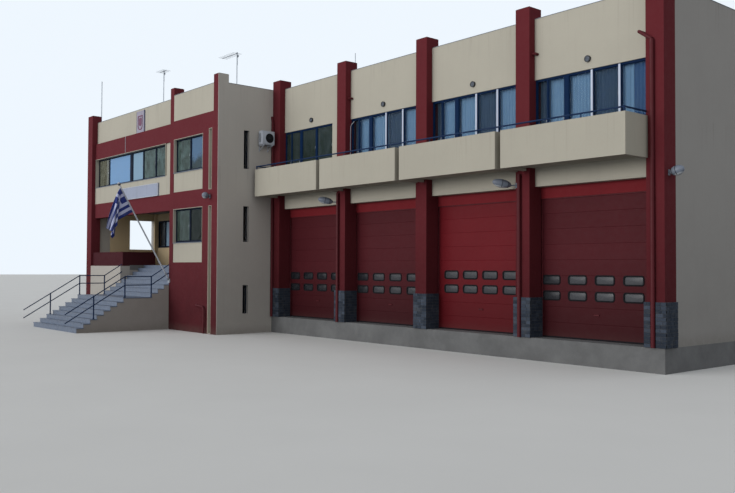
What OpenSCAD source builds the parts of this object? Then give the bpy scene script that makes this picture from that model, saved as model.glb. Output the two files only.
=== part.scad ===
// Fire station: a garage of four vehicle bays under one upper storey with a long
// balcony, and a three-storey office wing that steps forward at its left, entered
// by an outside stair into a loggia. All lengths are in millimetres.
// X runs along the street front, Y into the building, Z up. Heights are written
// from the vehicle floor, and the ground at the stair foot is the lowest point.

/* [Levels] */
// Height of the vehicle floor above the lowest ground
plinth_h = 700; // [400:50:1000]
// Height of the office's first floor above the vehicle floor
first_floor_z = 2250; // [2100:10:2400]
// Height of the cream beam over a vehicle door's red header
beam_h = 720; // [600:10:900]
// Height from the upper floor to the roof surface
storey_h = 3400; // [3250:10:3800]
// Height of the parapet above the roof surface
parapet_h = 1190; // [900:10:1400]
// Height that the columns rise above the parapet
column_rise = 370; // [200:10:700]
// Thickness of the floors and roofs
slab_t = 250; // [180:10:300]
// Thickness of the outside walls
wall_t = 300; // [200:10:350]

/* [Garage] */
// Distance from one garage column to the next
bay = 4600; // [4300:50:5200]
// Width of a garage column
column_w = 550; // [450:10:650]
// Depth of a garage column
column_d = 590; // [560:10:700]
// Depth of the garage from the column faces to the back wall's outer face
garage_d = 12000; // [9000:100:15000]
// Distance from the column faces back to the cream wall
wall_set = 270; // [150:10:280]
// Height of the stone cladding round a column's foot
stone_h = 1250; // [800:10:1600]
// Thickness of the stone cladding
stone_t = 60; // [20:5:80]

/* [Vehicle doors] */
// Height of a vehicle door
door_h = 4370; // [4000:10:4800]
// Height of the red header over a vehicle door
header_h = 360; // [200:10:450]
// Thickness of a door leaf
leaf_t = 60; // [40:5:90]
// Number of sections in a door leaf
leaf_sections = 9; // [6:1:10]
// Width of a door's small window
light_w = 640; // [400:10:700]
// Height of a door's small window
light_h = 260; // [200:10:320]
// Corner radius of a door's small window
light_r = 70; // [30:5:90]
// Height of the lower row of small windows, at their centres
light_z = 1315; // [1000:5:1500]
// Distance between the two rows of small windows
light_rise = 490; // [400:5:600]
// Distance from a door's left edge to the middle of its first small window
light_first = 370; // [360:5:450]
// Distance from one small window to the next
light_pitch = 965; // [800:5:1000]
// Distance from the third door's left edge to the middle of its first small window
light_first_3 = 640; // [400:5:700]
// Distance from one small window of the third door to the next
light_pitch_3 = 893; // [800:1:930]
// Height of the third door's small windows above those of the others
light_lift_3 = 120; // [0:5:200]

/* [Balcony] */
// Distance that the balcony stands out from the column faces
balcony_out = 1110; // [900:10:1300]
// Height of the balcony's wall, its lower lip included
balcony_wall_h = 1170; // [1000:10:1300]
// Thickness of the balcony's wall
balcony_wall_t = 120; // [80:10:150]
// Drop of the balcony's wall below the upper floor
balcony_drop = 230; // [180:10:300]
// Thickness of the balcony's slab
balcony_slab_t = 140; // [100:10:200]
// Width of the open joint between two balconies
balcony_joint = 220; // [100:10:260]
// Distance from a column's left edge to the middle of the joint before it
balcony_joint_x = 200; // [150:10:250]
// Height of the handrail above the balcony's wall
rail_rise = 130; // [80:10:250]
// Diameter of the handrail
rail_dia = 50; // [35:1:70]

/* [Upper windows] */
// Height of the window heads above the floor they belong to
head_h = 2650; // [2550:10:2700]
// Height of the sills above the floor they belong to
sill_h = 980; // [800:10:1100]
// Width of the glazed door onto the balcony, from the column to the mullion
balcony_door_w = 1140; // [900:10:1200]
// Width of the blue mullion between the balcony door's frame and the window's
mullion_w = 50; // [40:10:200]
// Width of the cream panel at the right end of the first bay's window
first_bay_panel = 640; // [300:10:900]
// Width of a narrow frame bar
frame_w = 60; // [40:5:80]
// Depth of a window frame
frame_d = 70; // [50:5:100]
// Thickness of the glass
glass_t = 10; // [6:1:20]

/* [Office] */
// Length of the office wing's front
office_l = 14050; // [13000:50:15000]
// Distance that the office wing stands out from the garage's column faces
office_out = 2770; // [2000:10:3200]
// Width of the office's left pilaster
pilaster_left_w = 600; // [450:10:800]
// Width of the office's middle pilaster
pilaster_mid_w = 350; // [300:10:600]
// Width of the office's right pilaster
pilaster_right_w = 400; // [350:10:700]
// Depth of the office's pilasters
pilaster_d = 500; // [450:10:650]
// Distance from the pilasters' faces back to the wide bay's wall
office_set = 200; // [120:10:220]
// Distance from the wide bay's wall back to its cream parapet
parapet_set = 100; // [40:10:140]
// Clear length of the narrow bay between middle and right pilasters
narrow_bay = 3580; // [3300:10:3900]
// Width of the openings in the narrow bay
narrow_window_w = 2680; // [2200:10:2750]
// Depth of the reveals of the narrow bay's windows
narrow_reveal = 140; // [60:10:250]
// Depth of the reveals of the wide bay's window
wide_reveal = 190; // [60:10:200]
// Width of the cream panel at the right end of the wide bay's window
wide_panel_w = 870; // [500:10:1200]
// Width of the wide window's broad middle bar
wide_bar_w = 300; // [100:10:450]
// Height of the office's sills above the floor they belong to
office_sill_h = 1010; // [900:10:1100]
// Drop of the office's upper window heads below those of the garage
office_head_drop = 100; // [0:10:200]
// Height of the cream panel under a street window
spandrel_h = 890; // [600:10:900]
// Depth that a cream panel lies back in the narrow bay's wall
panel_set = 20; // [10:5:60]
// Drop of the first storey's window heads below the upper floor
first_head_drop = 650; // [600:10:900]
// Width of the upright cream groove beside the right pilaster
groove_w = 270; // [150:10:300]
// Depth of the cream groove
groove_d = 150; // [50:10:200]
// Distance from the cream groove to the right pilaster
groove_gap = 110; // [60:10:150]
// Thickness of the plaster in reveals and on the right pilaster's side
plaster_t = 20; // [10:5:30]

/* [Loggia] */
// Height of the loggia's red front wall, its lip below the floor included
loggia_wall_h = 720; // [600:10:1100]
// Drop of the red front wall's lip below the loggia's floor
loggia_lip = 40; // [0:10:100]
// Thickness of the loggia's front wall
loggia_wall_t = 150; // [100:10:200]
// Distance from the pilasters' faces back to the red front wall
loggia_set = 120; // [50:10:200]
// Depth of the loggia behind the wide bay's wall plane
loggia_d = 3770; // [3000:10:4500]
// Depth of the stair well behind the wide bay's wall plane
stair_well_d = 1720; // [1500:10:2100]
// Distance from the loggia's left wall to the window in its back wall
loggia_window_off = 200; // [170:10:1500]
// Width of the window in the loggia's back wall
loggia_window_w = 2200; // [1500:10:2600]
// Thickness of the loggia's own walls
inner_t = 200; // [120:10:250]
// Width of the slim column at the loggia's back
loggia_post_w = 150; // [100:10:250]
// Width of the opening in the loggia's side wall
side_gap_w = 1460; // [1000:10:1800]
// Height of the opening in the loggia's side wall
side_gap_h = 1650; // [1200:10:1700]

/* [Stair] */
// Clear width of the stair
stair_w = 5300; // [4500:50:5600]
// Number of risers in each flight
risers = 8; // [7:1:9]
// Depth of a tread
going = 300; // [260:5:320]
// Height of the landing above the vehicle floor
landing_z = 750; // [650:10:850]
// Depth of the landing
landing_d = 1350; // [1200:10:1500]
// Distance from the pilasters' faces out to the landing's inner edge
landing_out = 830; // [700:10:900]
// Thickness of a marble tread
tread_t = 35; // [20:5:50]
// Overhang of a marble tread
tread_nose = 25; // [10:5:40]
// Height of the stair's handrail
stair_rail_h = 970; // [850:10:1100]
// Drop from the stair's handrail to its lower rail
stair_rail_drop = 380; // [300:10:450]
// Diameter of the stair's posts and rails
stair_rail_dia = 45; // [30:1:60]

/* [Side wall] */
// Width of a slit window
slit_w = 280; // [200:10:400]
// Distance from the garage's column faces out to the slit windows' near side
slit_out = 1220; // [1000:10:1600]
// Length of the air conditioner
cooler_l = 650; // [500:10:900]
// Height of the air conditioner
cooler_h = 620; // [500:10:700]
// Depth of the air conditioner
cooler_d = 300; // [220:10:350]
// Height of the air conditioner above the upper floor
cooler_z = 2050; // [1800:10:2300]

/* [Fittings] */
// Diameter of a downpipe
pipe_dia = 120; // [70:5:130]
// Clearance between a downpipe and the stone beside it
pipe_gap = 20; // [10:5:40]
// Length of a floodlight's head
lamp_l = 620; // [400:10:800]
// Diameter of a floodlight's head
lamp_dia = 270; // [150:10:350]
// Diameter of a round vent
vent_dia = 200; // [150:10:300]
// Drop of the flagpole's foot below the office's first floor
pole_drop = 690; // [400:10:1000]
// Length of the flagpole
pole_l = 4900; // [4000:50:5200]
// Diameter of the flagpole
pole_dia = 60; // [40:5:80]
// Lean of the flagpole out from the wall, from upright
pole_lean = 30; // [20:1:40]
// Length of the flag's edge on the pole
flag_h = 1200; // [800:10:1500]
// Height of the left mast above the roof
mast_1_h = 3540; // [2000:10:4500]
// Height of the middle mast above the roof
mast_2_h = 4520; // [2000:10:5500]
// Height of the right mast above the roof
mast_3_h = 4010; // [2000:10:5500]
// Diameter of a mast
mast_dia = 45; // [30:1:60]
// Distance from the front wall's inner face back to the middle and right masts
mast_back = 3270; // [1500:10:5000]
// Distance from the middle pilaster left to the middle mast
mast_2_off = 8270; // [7000:10:9000]
// Distance from the middle pilaster left to the right mast
mast_3_off = 390; // [200:10:800]
// Length of the middle mast's boom
boom_2_l = 850; // [600:10:1200]
// Length of the right mast's boom
boom_3_l = 1470; // [900:10:1800]
// Half length of the cross bars on a boom
cross_bar_l = 260; // [150:10:350]
// Distance from the middle pilaster left to the signboard
sign_off = 1500; // [1000:10:2500]
// Length of the signboard
sign_l = 4450; // [3500:50:5000]
// Height of the signboard
sign_h = 620; // [500:10:700]
// Thickness of the signboard
sign_t = 60; // [40:5:80]
// Distance from the middle pilaster left to the crest panel
crest_off = 3270; // [2500:10:4500]
// Width of the crest panel
crest_w = 900; // [600:10:1200]
// Height of the crest panel
crest_h = 1100; // [700:10:1150]
// Thickness of the crest panel
crest_t = 40; // [20:5:80]

/* [Hidden] */
$fn = 24;

bays = 4;
ground = -plinth_h;
garage_x = office_l;
total_l = office_l + bays * bay + column_w;
mid_y = (garage_d - office_out) / 2;
clear_w = bay - column_w;

// Garage planes and levels
beam_y = wall_set + 15;
door_y = column_d;
header_z = door_h + header_h;
upper_floor_z = header_z + beam_h;
roof_z = upper_floor_z + storey_h;
parapet_z = roof_z + parapet_h;
column_z = parapet_z + column_rise;
balcony_x0 = garage_x + 290;
balcony_x1 = bay_x(bays) + 60;
balcony_base_z = upper_floor_z - balcony_drop;
balcony_top_z = balcony_base_z + balcony_wall_h;
head_z = upper_floor_z + head_h;
sill_z = upper_floor_z + sill_h;
frame_y = wall_set + 50;
back_y = garage_d - wall_t;
ceiling_z = roof_z - slab_t;

// Office planes and levels
face_y = -office_out;
wall_y = face_y + office_set;
wall_in_y = face_y + pilaster_d;
right_x = office_l - pilaster_right_w;
mid_x1 = right_x - narrow_bay;
mid_x0 = mid_x1 - pilaster_mid_w;
wide_x1 = mid_x0 - wide_panel_w;
narrow_x1 = mid_x1 + narrow_window_w;
groove_x1 = right_x - groove_gap;
groove_x0 = groove_x1 - groove_w;
well_x0 = mid_x0 - stair_w;
loggia_back_y = wall_y + loggia_d;
office_head_z = head_z - office_head_drop;
office_sill_z = upper_floor_z + office_sill_h;
first_sill_z = first_floor_z + office_sill_h;
first_head_z = upper_floor_z - first_head_drop;
side_sill_z = first_floor_z + 900;

// Stair
lower_rise = (landing_z - ground) / risers;
upper_rise = (first_floor_z - landing_z) / risers;
run = (risers - 1) * going;
landing_y1 = face_y - landing_out;
landing_y0 = landing_y1 - landing_d;
well_y1 = wall_y + stair_well_d;

function bay_x(i) = garage_x + i * bay;
function bay_in(i) = bay_x(i) + column_w;

// Puts the building's own frame on the part's origin, at the middle of the plan
module placed() {
    translate([-total_l / 2, -mid_y, plinth_h]) children();
}

// A block between two opposite corners
module block(a, b) {
    translate(a) cube(b - a);
}

// A round bar from one point to another
module bar(a, b, dia) {
    v = b - a;
    translate(a)
        rotate([0, acos(v[2] / norm(v)), atan2(v[1], v[0])])
            cylinder(d = dia, h = norm(v));
}

// The clear widths of a window's panes, each upright bar given as [centre, width]
function panes(x0, x1, bars) = let (
    lefts = concat([x0 + frame_w], [for (b = bars) b[0] + b[1] / 2]),
    rights = concat([for (b = bars) b[0] - b[1] / 2], [x1 - frame_w])
) [for (i = [0 : len(bars)]) [lefts[i], rights[i]]];

// A window frame in the plane of a street wall, with upright bars
module window_frame(x0, x1, z0, z1, y, bars = [])
    difference() {
        block([x0, y, z0], [x1, y + frame_d, z1]);
        for (p = panes(x0, x1, bars))
            block([p[0], y - 1, z0 + frame_w], [p[1], y + frame_d + 1, z1 - frame_w]);
    }

// The sheets of glass that stand inside such a frame
module window_glass(x0, x1, z0, z1, y, bars = [])
    for (p = panes(x0, x1, bars))
        translate([p[0], y + (frame_d - glass_t) / 2, z0 + frame_w])
            cube([p[1] - p[0], glass_t, z1 - z0 - 2 * frame_w]);

// Cream plaster round an opening, its jambs and soffit, from the wall's face inward
module reveal(x0, x1, z0, z1, y, depth)
    difference() {
        block([x0, y, z0], [x1, y + depth, z1]);
        block([x0 + plaster_t, y - 1, z0 - 1], [x1 - plaster_t, y + depth + 1, z1 - plaster_t]);
    }

// GARAGE

module garage_plinth() placed() color("darkgray")
    block([garage_x, 0, ground], [total_l, garage_d, 0]);

module garage_column(i) placed() color("indianred")
    block([bay_x(i), 0, 0], [bay_x(i) + column_w, column_d, column_z]);

// Split stone round the street side of each column's foot, open where a downpipe stands
module stone_bases() placed() color("lightslategray")
    for (i = [0 : bays])
        difference() {
            block(
                [bay_x(i) - (i == 0 ? 0 : stone_t), -stone_t, 0],
                [bay_x(i) + column_w + stone_t, door_y - 1, stone_h]
            );
            block(
                [bay_x(i) - (i == 0 ? 1 : 0), 0, -1],
                [bay_x(i) + column_w, door_y, stone_h + 1]
            );
            if (has_pipe(i))
                block(
                    [pipe_x(i) - pipe_dia / 2 - pipe_gap, -stone_t - 1, -1],
                    [pipe_x(i) + pipe_dia / 2 + pipe_gap, 1, stone_h + 1]
                );
        }

module door_headers() placed() color("firebrick")
    for (i = [0 : bays - 1])
        block([bay_in(i), door_y, door_h], [bay_x(i + 1), door_y + wall_t, header_z]);

module front_beams() placed() color("wheat")
    for (i = [0 : bays - 1])
        block([bay_in(i), beam_y, header_z], [bay_x(i + 1), door_y, upper_floor_z]);

// The outline of one small window with round corners, cut right through a leaf
module light_cut(x, z, grow = 0) {
    w = light_w + 2 * grow;
    h = light_h + 2 * grow;
    r = light_r + grow;
    translate([x, 0, z]) {
        block([-w / 2 + r, -leaf_t, -h / 2], [w / 2 - r, 2 * leaf_t, h / 2]);
        block([-w / 2, -leaf_t, -h / 2 + r], [w / 2, 2 * leaf_t, h / 2 - r]);
        for (sx = [-1, 1], sz = [-1, 1])
            translate([sx * (w / 2 - r), 2 * leaf_t, sz * (h / 2 - r)])
                rotate([90, 0, 0]) cylinder(r = r, h = 3 * leaf_t);
    }
}

// The middles of a door's small windows, four a row in two rows. The third door's
// sections were cut in another way, and its windows lie higher and closer together.
function light_x(i, k) = bay_in(i)
    + (i == 2 ? light_first_3 + k * light_pitch_3 : light_first + k * light_pitch);
function light_row(i, row) = light_z + row * light_rise + (i == 2 ? light_lift_3 : 0);

// Depth of the groove between two sections of a leaf
seam_d = 6;

module vehicle_door(i) placed() color("crimson")
    difference() {
        block([bay_in(i), door_y + 40, 0], [bay_x(i + 1), door_y + 40 + leaf_t, door_h]);
        for (s = [1 : leaf_sections - 1])
            translate([bay_in(i) - 1, door_y + 40, s * door_h / leaf_sections])
                rotate([0, 90, 0]) cylinder(r = seam_d, h = clear_w + 2, $fn = 4);
        for (k = [0 : 3], row = [0, 1])
            translate([0, door_y + 40, 0]) light_cut(light_x(i, k), light_row(i, row));
    }

module door_lights() placed() color("darkslategray")
    for (i = [0 : bays - 1], k = [0 : 3], row = [0, 1])
        translate([0, door_y + 40 + (leaf_t - glass_t) / 2, 0])
            intersection() {
                translate([light_x(i, k) - light_w, 0, light_row(i, row) - light_h])
                    cube([2 * light_w, glass_t, 2 * light_h]);
                light_cut(light_x(i, k), light_row(i, row));
            }

module upper_floor() placed() color("lightgray")
    block([garage_x, door_y, upper_floor_z - slab_t], [total_l - wall_t, back_y, upper_floor_z]);

module garage_roof() placed() color("lightgray")
    block([garage_x, door_y, ceiling_z], [total_l - wall_t, back_y, roof_z]);

// Cream wall from the window heads to the parapet's top, between the columns
module garage_parapet() placed() color("wheat")
    for (i = [0 : bays - 1])
        block([bay_in(i), wall_set, head_z], [bay_x(i + 1), door_y, parapet_z]);

// Low walls under the windows, which stop at the glazed balcony doors, and the
// cream panel that ends the first bay's window
module sill_walls() placed() color("wheat")
    for (i = [0 : bays - 1]) {
        block([window_x0(i), wall_set, upper_floor_z], [bay_x(i + 1), door_y, sill_z]);
        if (i == 0)
            block([window_x1(i), wall_set, sill_z - 1], [bay_x(i + 1), door_y, head_z]);
    }

// Left and right ends of the wide window in a bay, and its two upright bars
function window_x0(i) = bay_in(i) + balcony_door_w + mullion_w;
function window_x1(i) = bay_x(i + 1) - (i == 0 ? first_bay_panel : 0);
function window_bars(i) = [
    for (k = i == 0 ? [0.48] : [0.315, 0.643])
        [window_x0(i) + (window_x1(i) - window_x0(i)) * k, frame_w * (i == 0 ? 2 : 1.5)]
];
function balcony_door_bars(i) = [[bay_in(i) + balcony_door_w * 0.4, frame_w]];

module upper_window_frames() placed() color("royalblue")
    for (i = [0 : bays - 1]) {
        window_frame(
            bay_in(i), bay_in(i) + balcony_door_w, upper_floor_z, head_z, frame_y,
            balcony_door_bars(i)
        );
        block(
            [bay_in(i) + balcony_door_w, frame_y, upper_floor_z],
            [window_x0(i), frame_y + frame_d, head_z]
        );
        window_frame(window_x0(i), window_x1(i), sill_z, head_z, frame_y, window_bars(i));
    }

module upper_window_glass() placed() color("lightsteelblue")
    for (i = [0 : bays - 1]) {
        window_glass(
            bay_in(i), bay_in(i) + balcony_door_w, upper_floor_z, head_z, frame_y,
            balcony_door_bars(i)
        );
        window_glass(window_x0(i), window_x1(i), sill_z, head_z, frame_y, window_bars(i));
    }

module garage_right_wall() placed() color("wheat")
    block([total_l - wall_t, column_d, 0], [total_l, garage_d, parapet_z]);

// Openings of the upper windows in a back wall, one wide window in each bay
function back_bay_x(i) = bay_x(i) + (bay + column_w) / 2;
back_window_w = 2600;

module garage_back_wall() placed() color("wheat")
    difference() {
        block([garage_x, back_y, 0], [total_l - wall_t, garage_d, parapet_z]);
        for (i = [0 : bays - 1])
            block(
                [back_bay_x(i) - back_window_w / 2, back_y - 1, sill_z],
                [back_bay_x(i) + back_window_w / 2, garage_d + 1, head_z]
            );
    }

// BALCONY

// Each bay has a balcony of its own, parted from the next by an open joint
function joint_x(i) = bay_x(i) + balcony_joint_x;
function balcony_left(i) = i == 0 ? balcony_x0 : joint_x(i) + balcony_joint / 2;
function balcony_right(i) = i == bays - 1 ? balcony_x1 : joint_x(i + 1) - balcony_joint / 2;

module balcony_slab() placed() color("wheat")
    for (i = [0 : bays - 1]) {
        block(
            [
                balcony_left(i) + balcony_wall_t, -balcony_out + balcony_wall_t,
                upper_floor_z - balcony_slab_t
            ],
            [balcony_right(i) - balcony_wall_t, 0, upper_floor_z]
        );
        block([bay_in(i), -1, upper_floor_z - balcony_slab_t], [bay_x(i + 1), beam_y, upper_floor_z]);
    }

// A front wall with a return at each end, back to the columns' faces
module balcony_wall() placed() color("cornsilk")
    for (i = [0 : bays - 1])
        difference() {
            block(
                [balcony_left(i), -balcony_out, balcony_base_z],
                [balcony_right(i), 0, balcony_top_z]
            );
            block(
                [
                    balcony_left(i) + balcony_wall_t, -balcony_out + balcony_wall_t,
                    balcony_base_z - 1
                ],
                [balcony_right(i) - balcony_wall_t, 1, balcony_top_z + 1]
            );
        }

// One handrail over all the balconies, returned to the end columns, on short posts
module balcony_rail() placed() color("midnightblue") {
    y = -balcony_out + balcony_wall_t / 2;
    z = balcony_top_z + rail_rise;
    xa = balcony_x0 + balcony_wall_t / 2;
    xb = balcony_x1 - balcony_wall_t / 2;
    bar([xa, y, z], [xb, y, z], rail_dia);
    for (x = [xa, xb]) {
        bar([x, y, z], [x, 0, z], rail_dia);
        bar([x, y, balcony_top_z], [x, y, z + rail_dia * 0.6], rail_dia * 1.2);
    }
    for (i = [0 : bays - 1], k = [1 / 3, 2 / 3]) {
        x = balcony_left(i) + (balcony_right(i) - balcony_left(i)) * k;
        bar([x, y, balcony_top_z], [x, y, z], rail_dia * 0.6);
    }
}

// FITTINGS OF THE GARAGE FRONT

// How far from a column's left edge its downpipe stands: the third has none
pipe_offs = [80, 150, undef, 180, 220];
pipe_y = -pipe_dia / 2;
spout_z = roof_z + 60;
spout_fall = 280;
function has_pipe(i) = !is_undef(pipe_offs[i]);
function pipe_x(i) = bay_x(i) + pipe_offs[i];

// A pipe down a column's face, from a given height to the floor
module downpipe(i, top_z) bar([pipe_x(i), pipe_y, 0], [pipe_x(i), pipe_y, top_z], pipe_dia);

// The end columns' pipes come down from the parapet. The others run inside their
// columns from a spout beside them and come out under the balcony.
spout_off = 110;
spout_out = 130;
elbow_z = balcony_base_z - 80;

module downpipes() placed() color("firebrick") {
    left_z = spout_z - 60;
    right_z = spout_z - 150;
    right_x = bay_x(bays) - spout_off - 50;
    downpipe(0, left_z - spout_fall);
    bar([office_l, pipe_y, left_z], [pipe_x(0), pipe_y, left_z - spout_fall], pipe_dia * 0.8);
    downpipe(bays, right_z - spout_fall);
    bar([right_x, wall_set, right_z], [right_x, pipe_y - 20, right_z], pipe_dia * 0.75);
    bar([right_x, pipe_y, right_z], [pipe_x(bays), pipe_y, right_z - spout_fall], pipe_dia * 0.8);
    for (i = [1, 3]) {
        x = bay_in(i) + spout_off;
        y = wall_set - spout_out;
        downpipe(i, elbow_z);
        bar([pipe_x(i), pipe_y, elbow_z - 70], [pipe_x(i), 0, elbow_z - 70], pipe_dia * 0.9);
        bar([x, wall_set, spout_z], [x, y - 20, spout_z], pipe_dia * 0.75);
        bar([x, y, spout_z], [bay_in(i), y, spout_z], pipe_dia * 0.7);
    }
}

module wall_vents() placed() color("lightgray")
    for (i = [0 : bays - 1])
        translate([bay_in(i) + clear_w * 0.49, wall_set, head_z + 310])
            rotate([90, 0, 0]) difference() {
                cylinder(d = vent_dia, h = 60);
                translate([0, 0, 25]) cylinder(d = vent_dia - 60, h = 40);
            }

// A rounded lamp head along -Y, with its socket at the origin
module lamp_head(l)
    translate([0, -l / 2, 0])
        rotate([90, 0, 0])
            rotate_extrude()
                polygon([for (a = [-90 : 15 : 90]) [lamp_dia / 2 * cos(a), l / 2 * sin(a)]]);

// A lamp on an arm, turned aside and tilted up a little, its foot plate flat on a face
// that looks along -Y
module floodlight(reach, l, turn = 0) {
    block([-45, -15, -80], [45, 0, 80]);
    rotate([0, 0, turn]) {
        bar([0, -10, 0], [0, -reach, 0], 42);
        translate([0, 60 - reach, 0]) rotate([-12, 0, 0]) lamp_head(l);
    }
}

lamp_z = header_z + 60;

module floodlights() placed() color("lightgray") {
    for (i = [1, 3])
        translate([bay_x(i) + 47, 0, lamp_z]) floodlight(230, lamp_l, -42);
    translate([total_l, column_d * 0.4, lamp_z]) rotate([0, 0, 90]) floodlight(110, lamp_l * 0.65);
    translate([(groove_x0 + groove_x1) / 2, face_y, upper_floor_z - 260])
        floodlight(130, lamp_l / 2);
}

// OFFICE

// A floor, roof or base of the office wing between its walls, under a given height
module office_slab(z, t = slab_t)
    block([wall_t, wall_in_y, z - t], [office_l - wall_t, back_y, z]);

module office_plinth() placed() color("darkgray") office_slab(ground + 150, 150);

module office_first_floor() placed() color("lightgray")
    difference() {
        office_slab(first_floor_z);
        block([well_x0, wall_in_y - 1, 0], [mid_x0, well_y1, column_z]);
    }

module office_upper_floor() placed() color("lightgray") office_slab(upper_floor_z);

module office_roof() placed() color("lightgray") office_slab(roof_z);

// The right pilaster leaves room for the plaster that wraps its side
module office_pilasters() placed() color("indianred")
    for (x = [[0, pilaster_left_w], [mid_x0, mid_x1], [right_x, office_l - plaster_t]])
        block([x[0], face_y, ground], [x[1], wall_in_y, column_z]);

module office_parapet() placed() color("wheat") {
    block([pilaster_left_w, wall_y + parapet_set, roof_z], [mid_x0, wall_in_y, parapet_z]);
    block([mid_x1, face_y, roof_z], [right_x, wall_in_y, parapet_z]);
}

// Sill and head of the street windows, upper storey first
office_rows = [[office_sill_z, office_head_z], [first_sill_z, first_head_z]];

// The two stretches of the upright groove, above and below the red band
groove_rows = [[upper_floor_z + 50, head_z + 40], [ground + 20, first_head_z]];

// Red plaster of the street front: bands over the wide bay, and the narrow bay's wall
module office_red_walls() placed() color("brown") {
    block([pilaster_left_w, wall_y, office_head_z], [mid_x0, wall_in_y, roof_z]);
    block([pilaster_left_w, wall_y, first_head_z], [mid_x0, wall_in_y, office_sill_z - spandrel_h]);
    difference() {
        block([mid_x1, face_y, ground], [right_x, wall_in_y, roof_z]);
        for (z = office_rows)
            block([mid_x1 - 1, face_y - 1, z[0] - spandrel_h], [narrow_x1, wall_in_y + 1, z[1]]);
        for (z = groove_rows)
            block([groove_x0, face_y - 1, z[0]], [groove_x1, face_y + groove_d, z[1]]);
    }
}

// Cream panels under and beside the street windows, the plaster of the windows'
// reveals, and the lining of the upright groove
module office_cream_panels() placed() color("wheat") {
    block([pilaster_left_w, wall_y, office_sill_z - spandrel_h], [mid_x0, wall_in_y, office_sill_z]);
    block([wide_x1, wall_y + 60, office_sill_z - 1], [mid_x0, wall_in_y, office_head_z]);
    reveal(pilaster_left_w, wide_x1 + 1, office_sill_z - 1, office_head_z, wall_y, wide_reveal);
    for (z = office_rows) {
        block([mid_x1, face_y + panel_set, z[0] - spandrel_h], [narrow_x1, wall_in_y, z[0]]);
        reveal(mid_x1, narrow_x1, z[0] - 1, z[1], face_y, narrow_reveal);
    }
    for (z = groove_rows)
        difference() {
            block([groove_x0, face_y, z[0]], [groove_x1, face_y + groove_d, z[1]]);
            block(
                [groove_x0 + plaster_t, face_y - 1, z[0] + plaster_t],
                [groove_x1 - plaster_t, face_y + groove_d - plaster_t, z[1] - plaster_t]
            );
        }
}

// Sill and head of the slit windows: ground, first and upper storey
slit_zs = [[160, 1390], [first_sill_z, first_head_z], [sill_z, head_z]];
slit_glass_x = office_l - 180;

module office_right_wall() placed() color("wheat")
    difference() {
        union() {
            block([office_l - wall_t, wall_in_y, ground], [office_l, garage_d, parapet_z]);
            block([office_l - plaster_t, face_y, ground], [office_l, wall_in_y, column_z]);
        }
        for (z = slit_zs)
            block([office_l - wall_t - 1, -slit_out - slit_w, z[0]], [office_l + 1, -slit_out, z[1]]);
    }

// The loggia's side opening lies in the left wall, beside the slim column
module office_left_wall() placed() color("wheat")
    difference() {
        block([0, wall_in_y, ground], [wall_t, garage_d, parapet_z]);
        side_gap();
    }

// The opening in the loggia's left side
module side_gap()
    block(
        [-1, loggia_back_y - loggia_post_w - side_gap_w, side_sill_z],
        [2 * wall_t, loggia_back_y - loggia_post_w, side_sill_z + side_gap_h]
    );

office_back_xs = [for (k = [1 : 3]) office_l * k / 4];

module office_back_wall() placed() color("wheat")
    difference() {
        block([wall_t, back_y, ground], [office_l - wall_t, garage_d, parapet_z]);
        for (x = office_back_xs, z = office_rows)
            block([x - back_window_w / 2, back_y - 1, z[0]], [x + back_window_w / 2, garage_d + 1, z[1]]);
    }

// Cream wall of the lowest storey beside the stair, in the pilasters' plane
module office_ground_wall() placed() color("wheat")
    block([pilaster_left_w, face_y, ground], [well_x0, wall_in_y, first_floor_z - loggia_lip]);

// Red breast wall of the loggia, returned back along the stair well
module loggia_wall() placed() color("brown") {
    z0 = first_floor_z - loggia_lip;
    y0 = face_y + loggia_set;
    block([pilaster_left_w, y0, z0], [well_x0, y0 + loggia_wall_t, z0 + loggia_wall_h]);
    block([pilaster_left_w, y0 + loggia_wall_t, z0], [well_x0, wall_in_y, first_floor_z]);
    block(
        [well_x0 - loggia_wall_t, y0 + loggia_wall_t, first_floor_z],
        [well_x0, well_y1, z0 + loggia_wall_h]
    );
}

entrance_x = mid_x0 - 1700;
entrance_w = 1600;
entrance_h = 2300;
loggia_window_x = wall_t + loggia_window_off;
loggia_window = [loggia_window_x, loggia_window_x + loggia_window_w];

module loggia_back_wall() placed() color("burlywood")
    difference() {
        block(
            [wall_t, loggia_back_y, first_floor_z],
            [mid_x0 + inner_t, loggia_back_y + inner_t, upper_floor_z - slab_t]
        );
        block(
            [loggia_window[0], loggia_back_y - 1, first_sill_z],
            [loggia_window[1], loggia_back_y + inner_t + 1, first_head_z]
        );
        block(
            [entrance_x - entrance_w, loggia_back_y - 1, first_floor_z - 1],
            [entrance_x, loggia_back_y + inner_t + 1, first_floor_z + entrance_h]
        );
    }

// The wall that closes the loggia's right side, behind the middle pilaster, and the
// tan plaster on the inner face of its left side
module loggia_side_wall() placed() color("burlywood") {
    block([mid_x0, wall_in_y, first_floor_z], [mid_x0 + inner_t, loggia_back_y, upper_floor_z - slab_t]);
    difference() {
        block(
            [wall_t, wall_in_y + 700, first_floor_z],
            [wall_t + plaster_t, loggia_back_y - loggia_post_w, upper_floor_z - slab_t]
        );
        side_gap();
    }
}

module loggia_post() placed() color("burlywood")
    block(
        [wall_t, loggia_back_y - loggia_post_w, first_floor_z],
        [wall_t + loggia_post_w, loggia_back_y, upper_floor_z - slab_t]
    );

// Upright bars of the wide window, the broad one near its middle, and of the others
wide_bars = [
    for (k = [1, 3, 4, 5])
        [pilaster_left_w + (wide_x1 - pilaster_left_w) * k / 6, k == 3 ? wide_bar_w : frame_w * 1.5]
];
narrow_bars = [[(mid_x1 + narrow_x1) / 2, frame_w * 1.5]];
loggia_bars = [[loggia_window_x + loggia_window_w * 0.38, frame_w * 1.5]];

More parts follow.
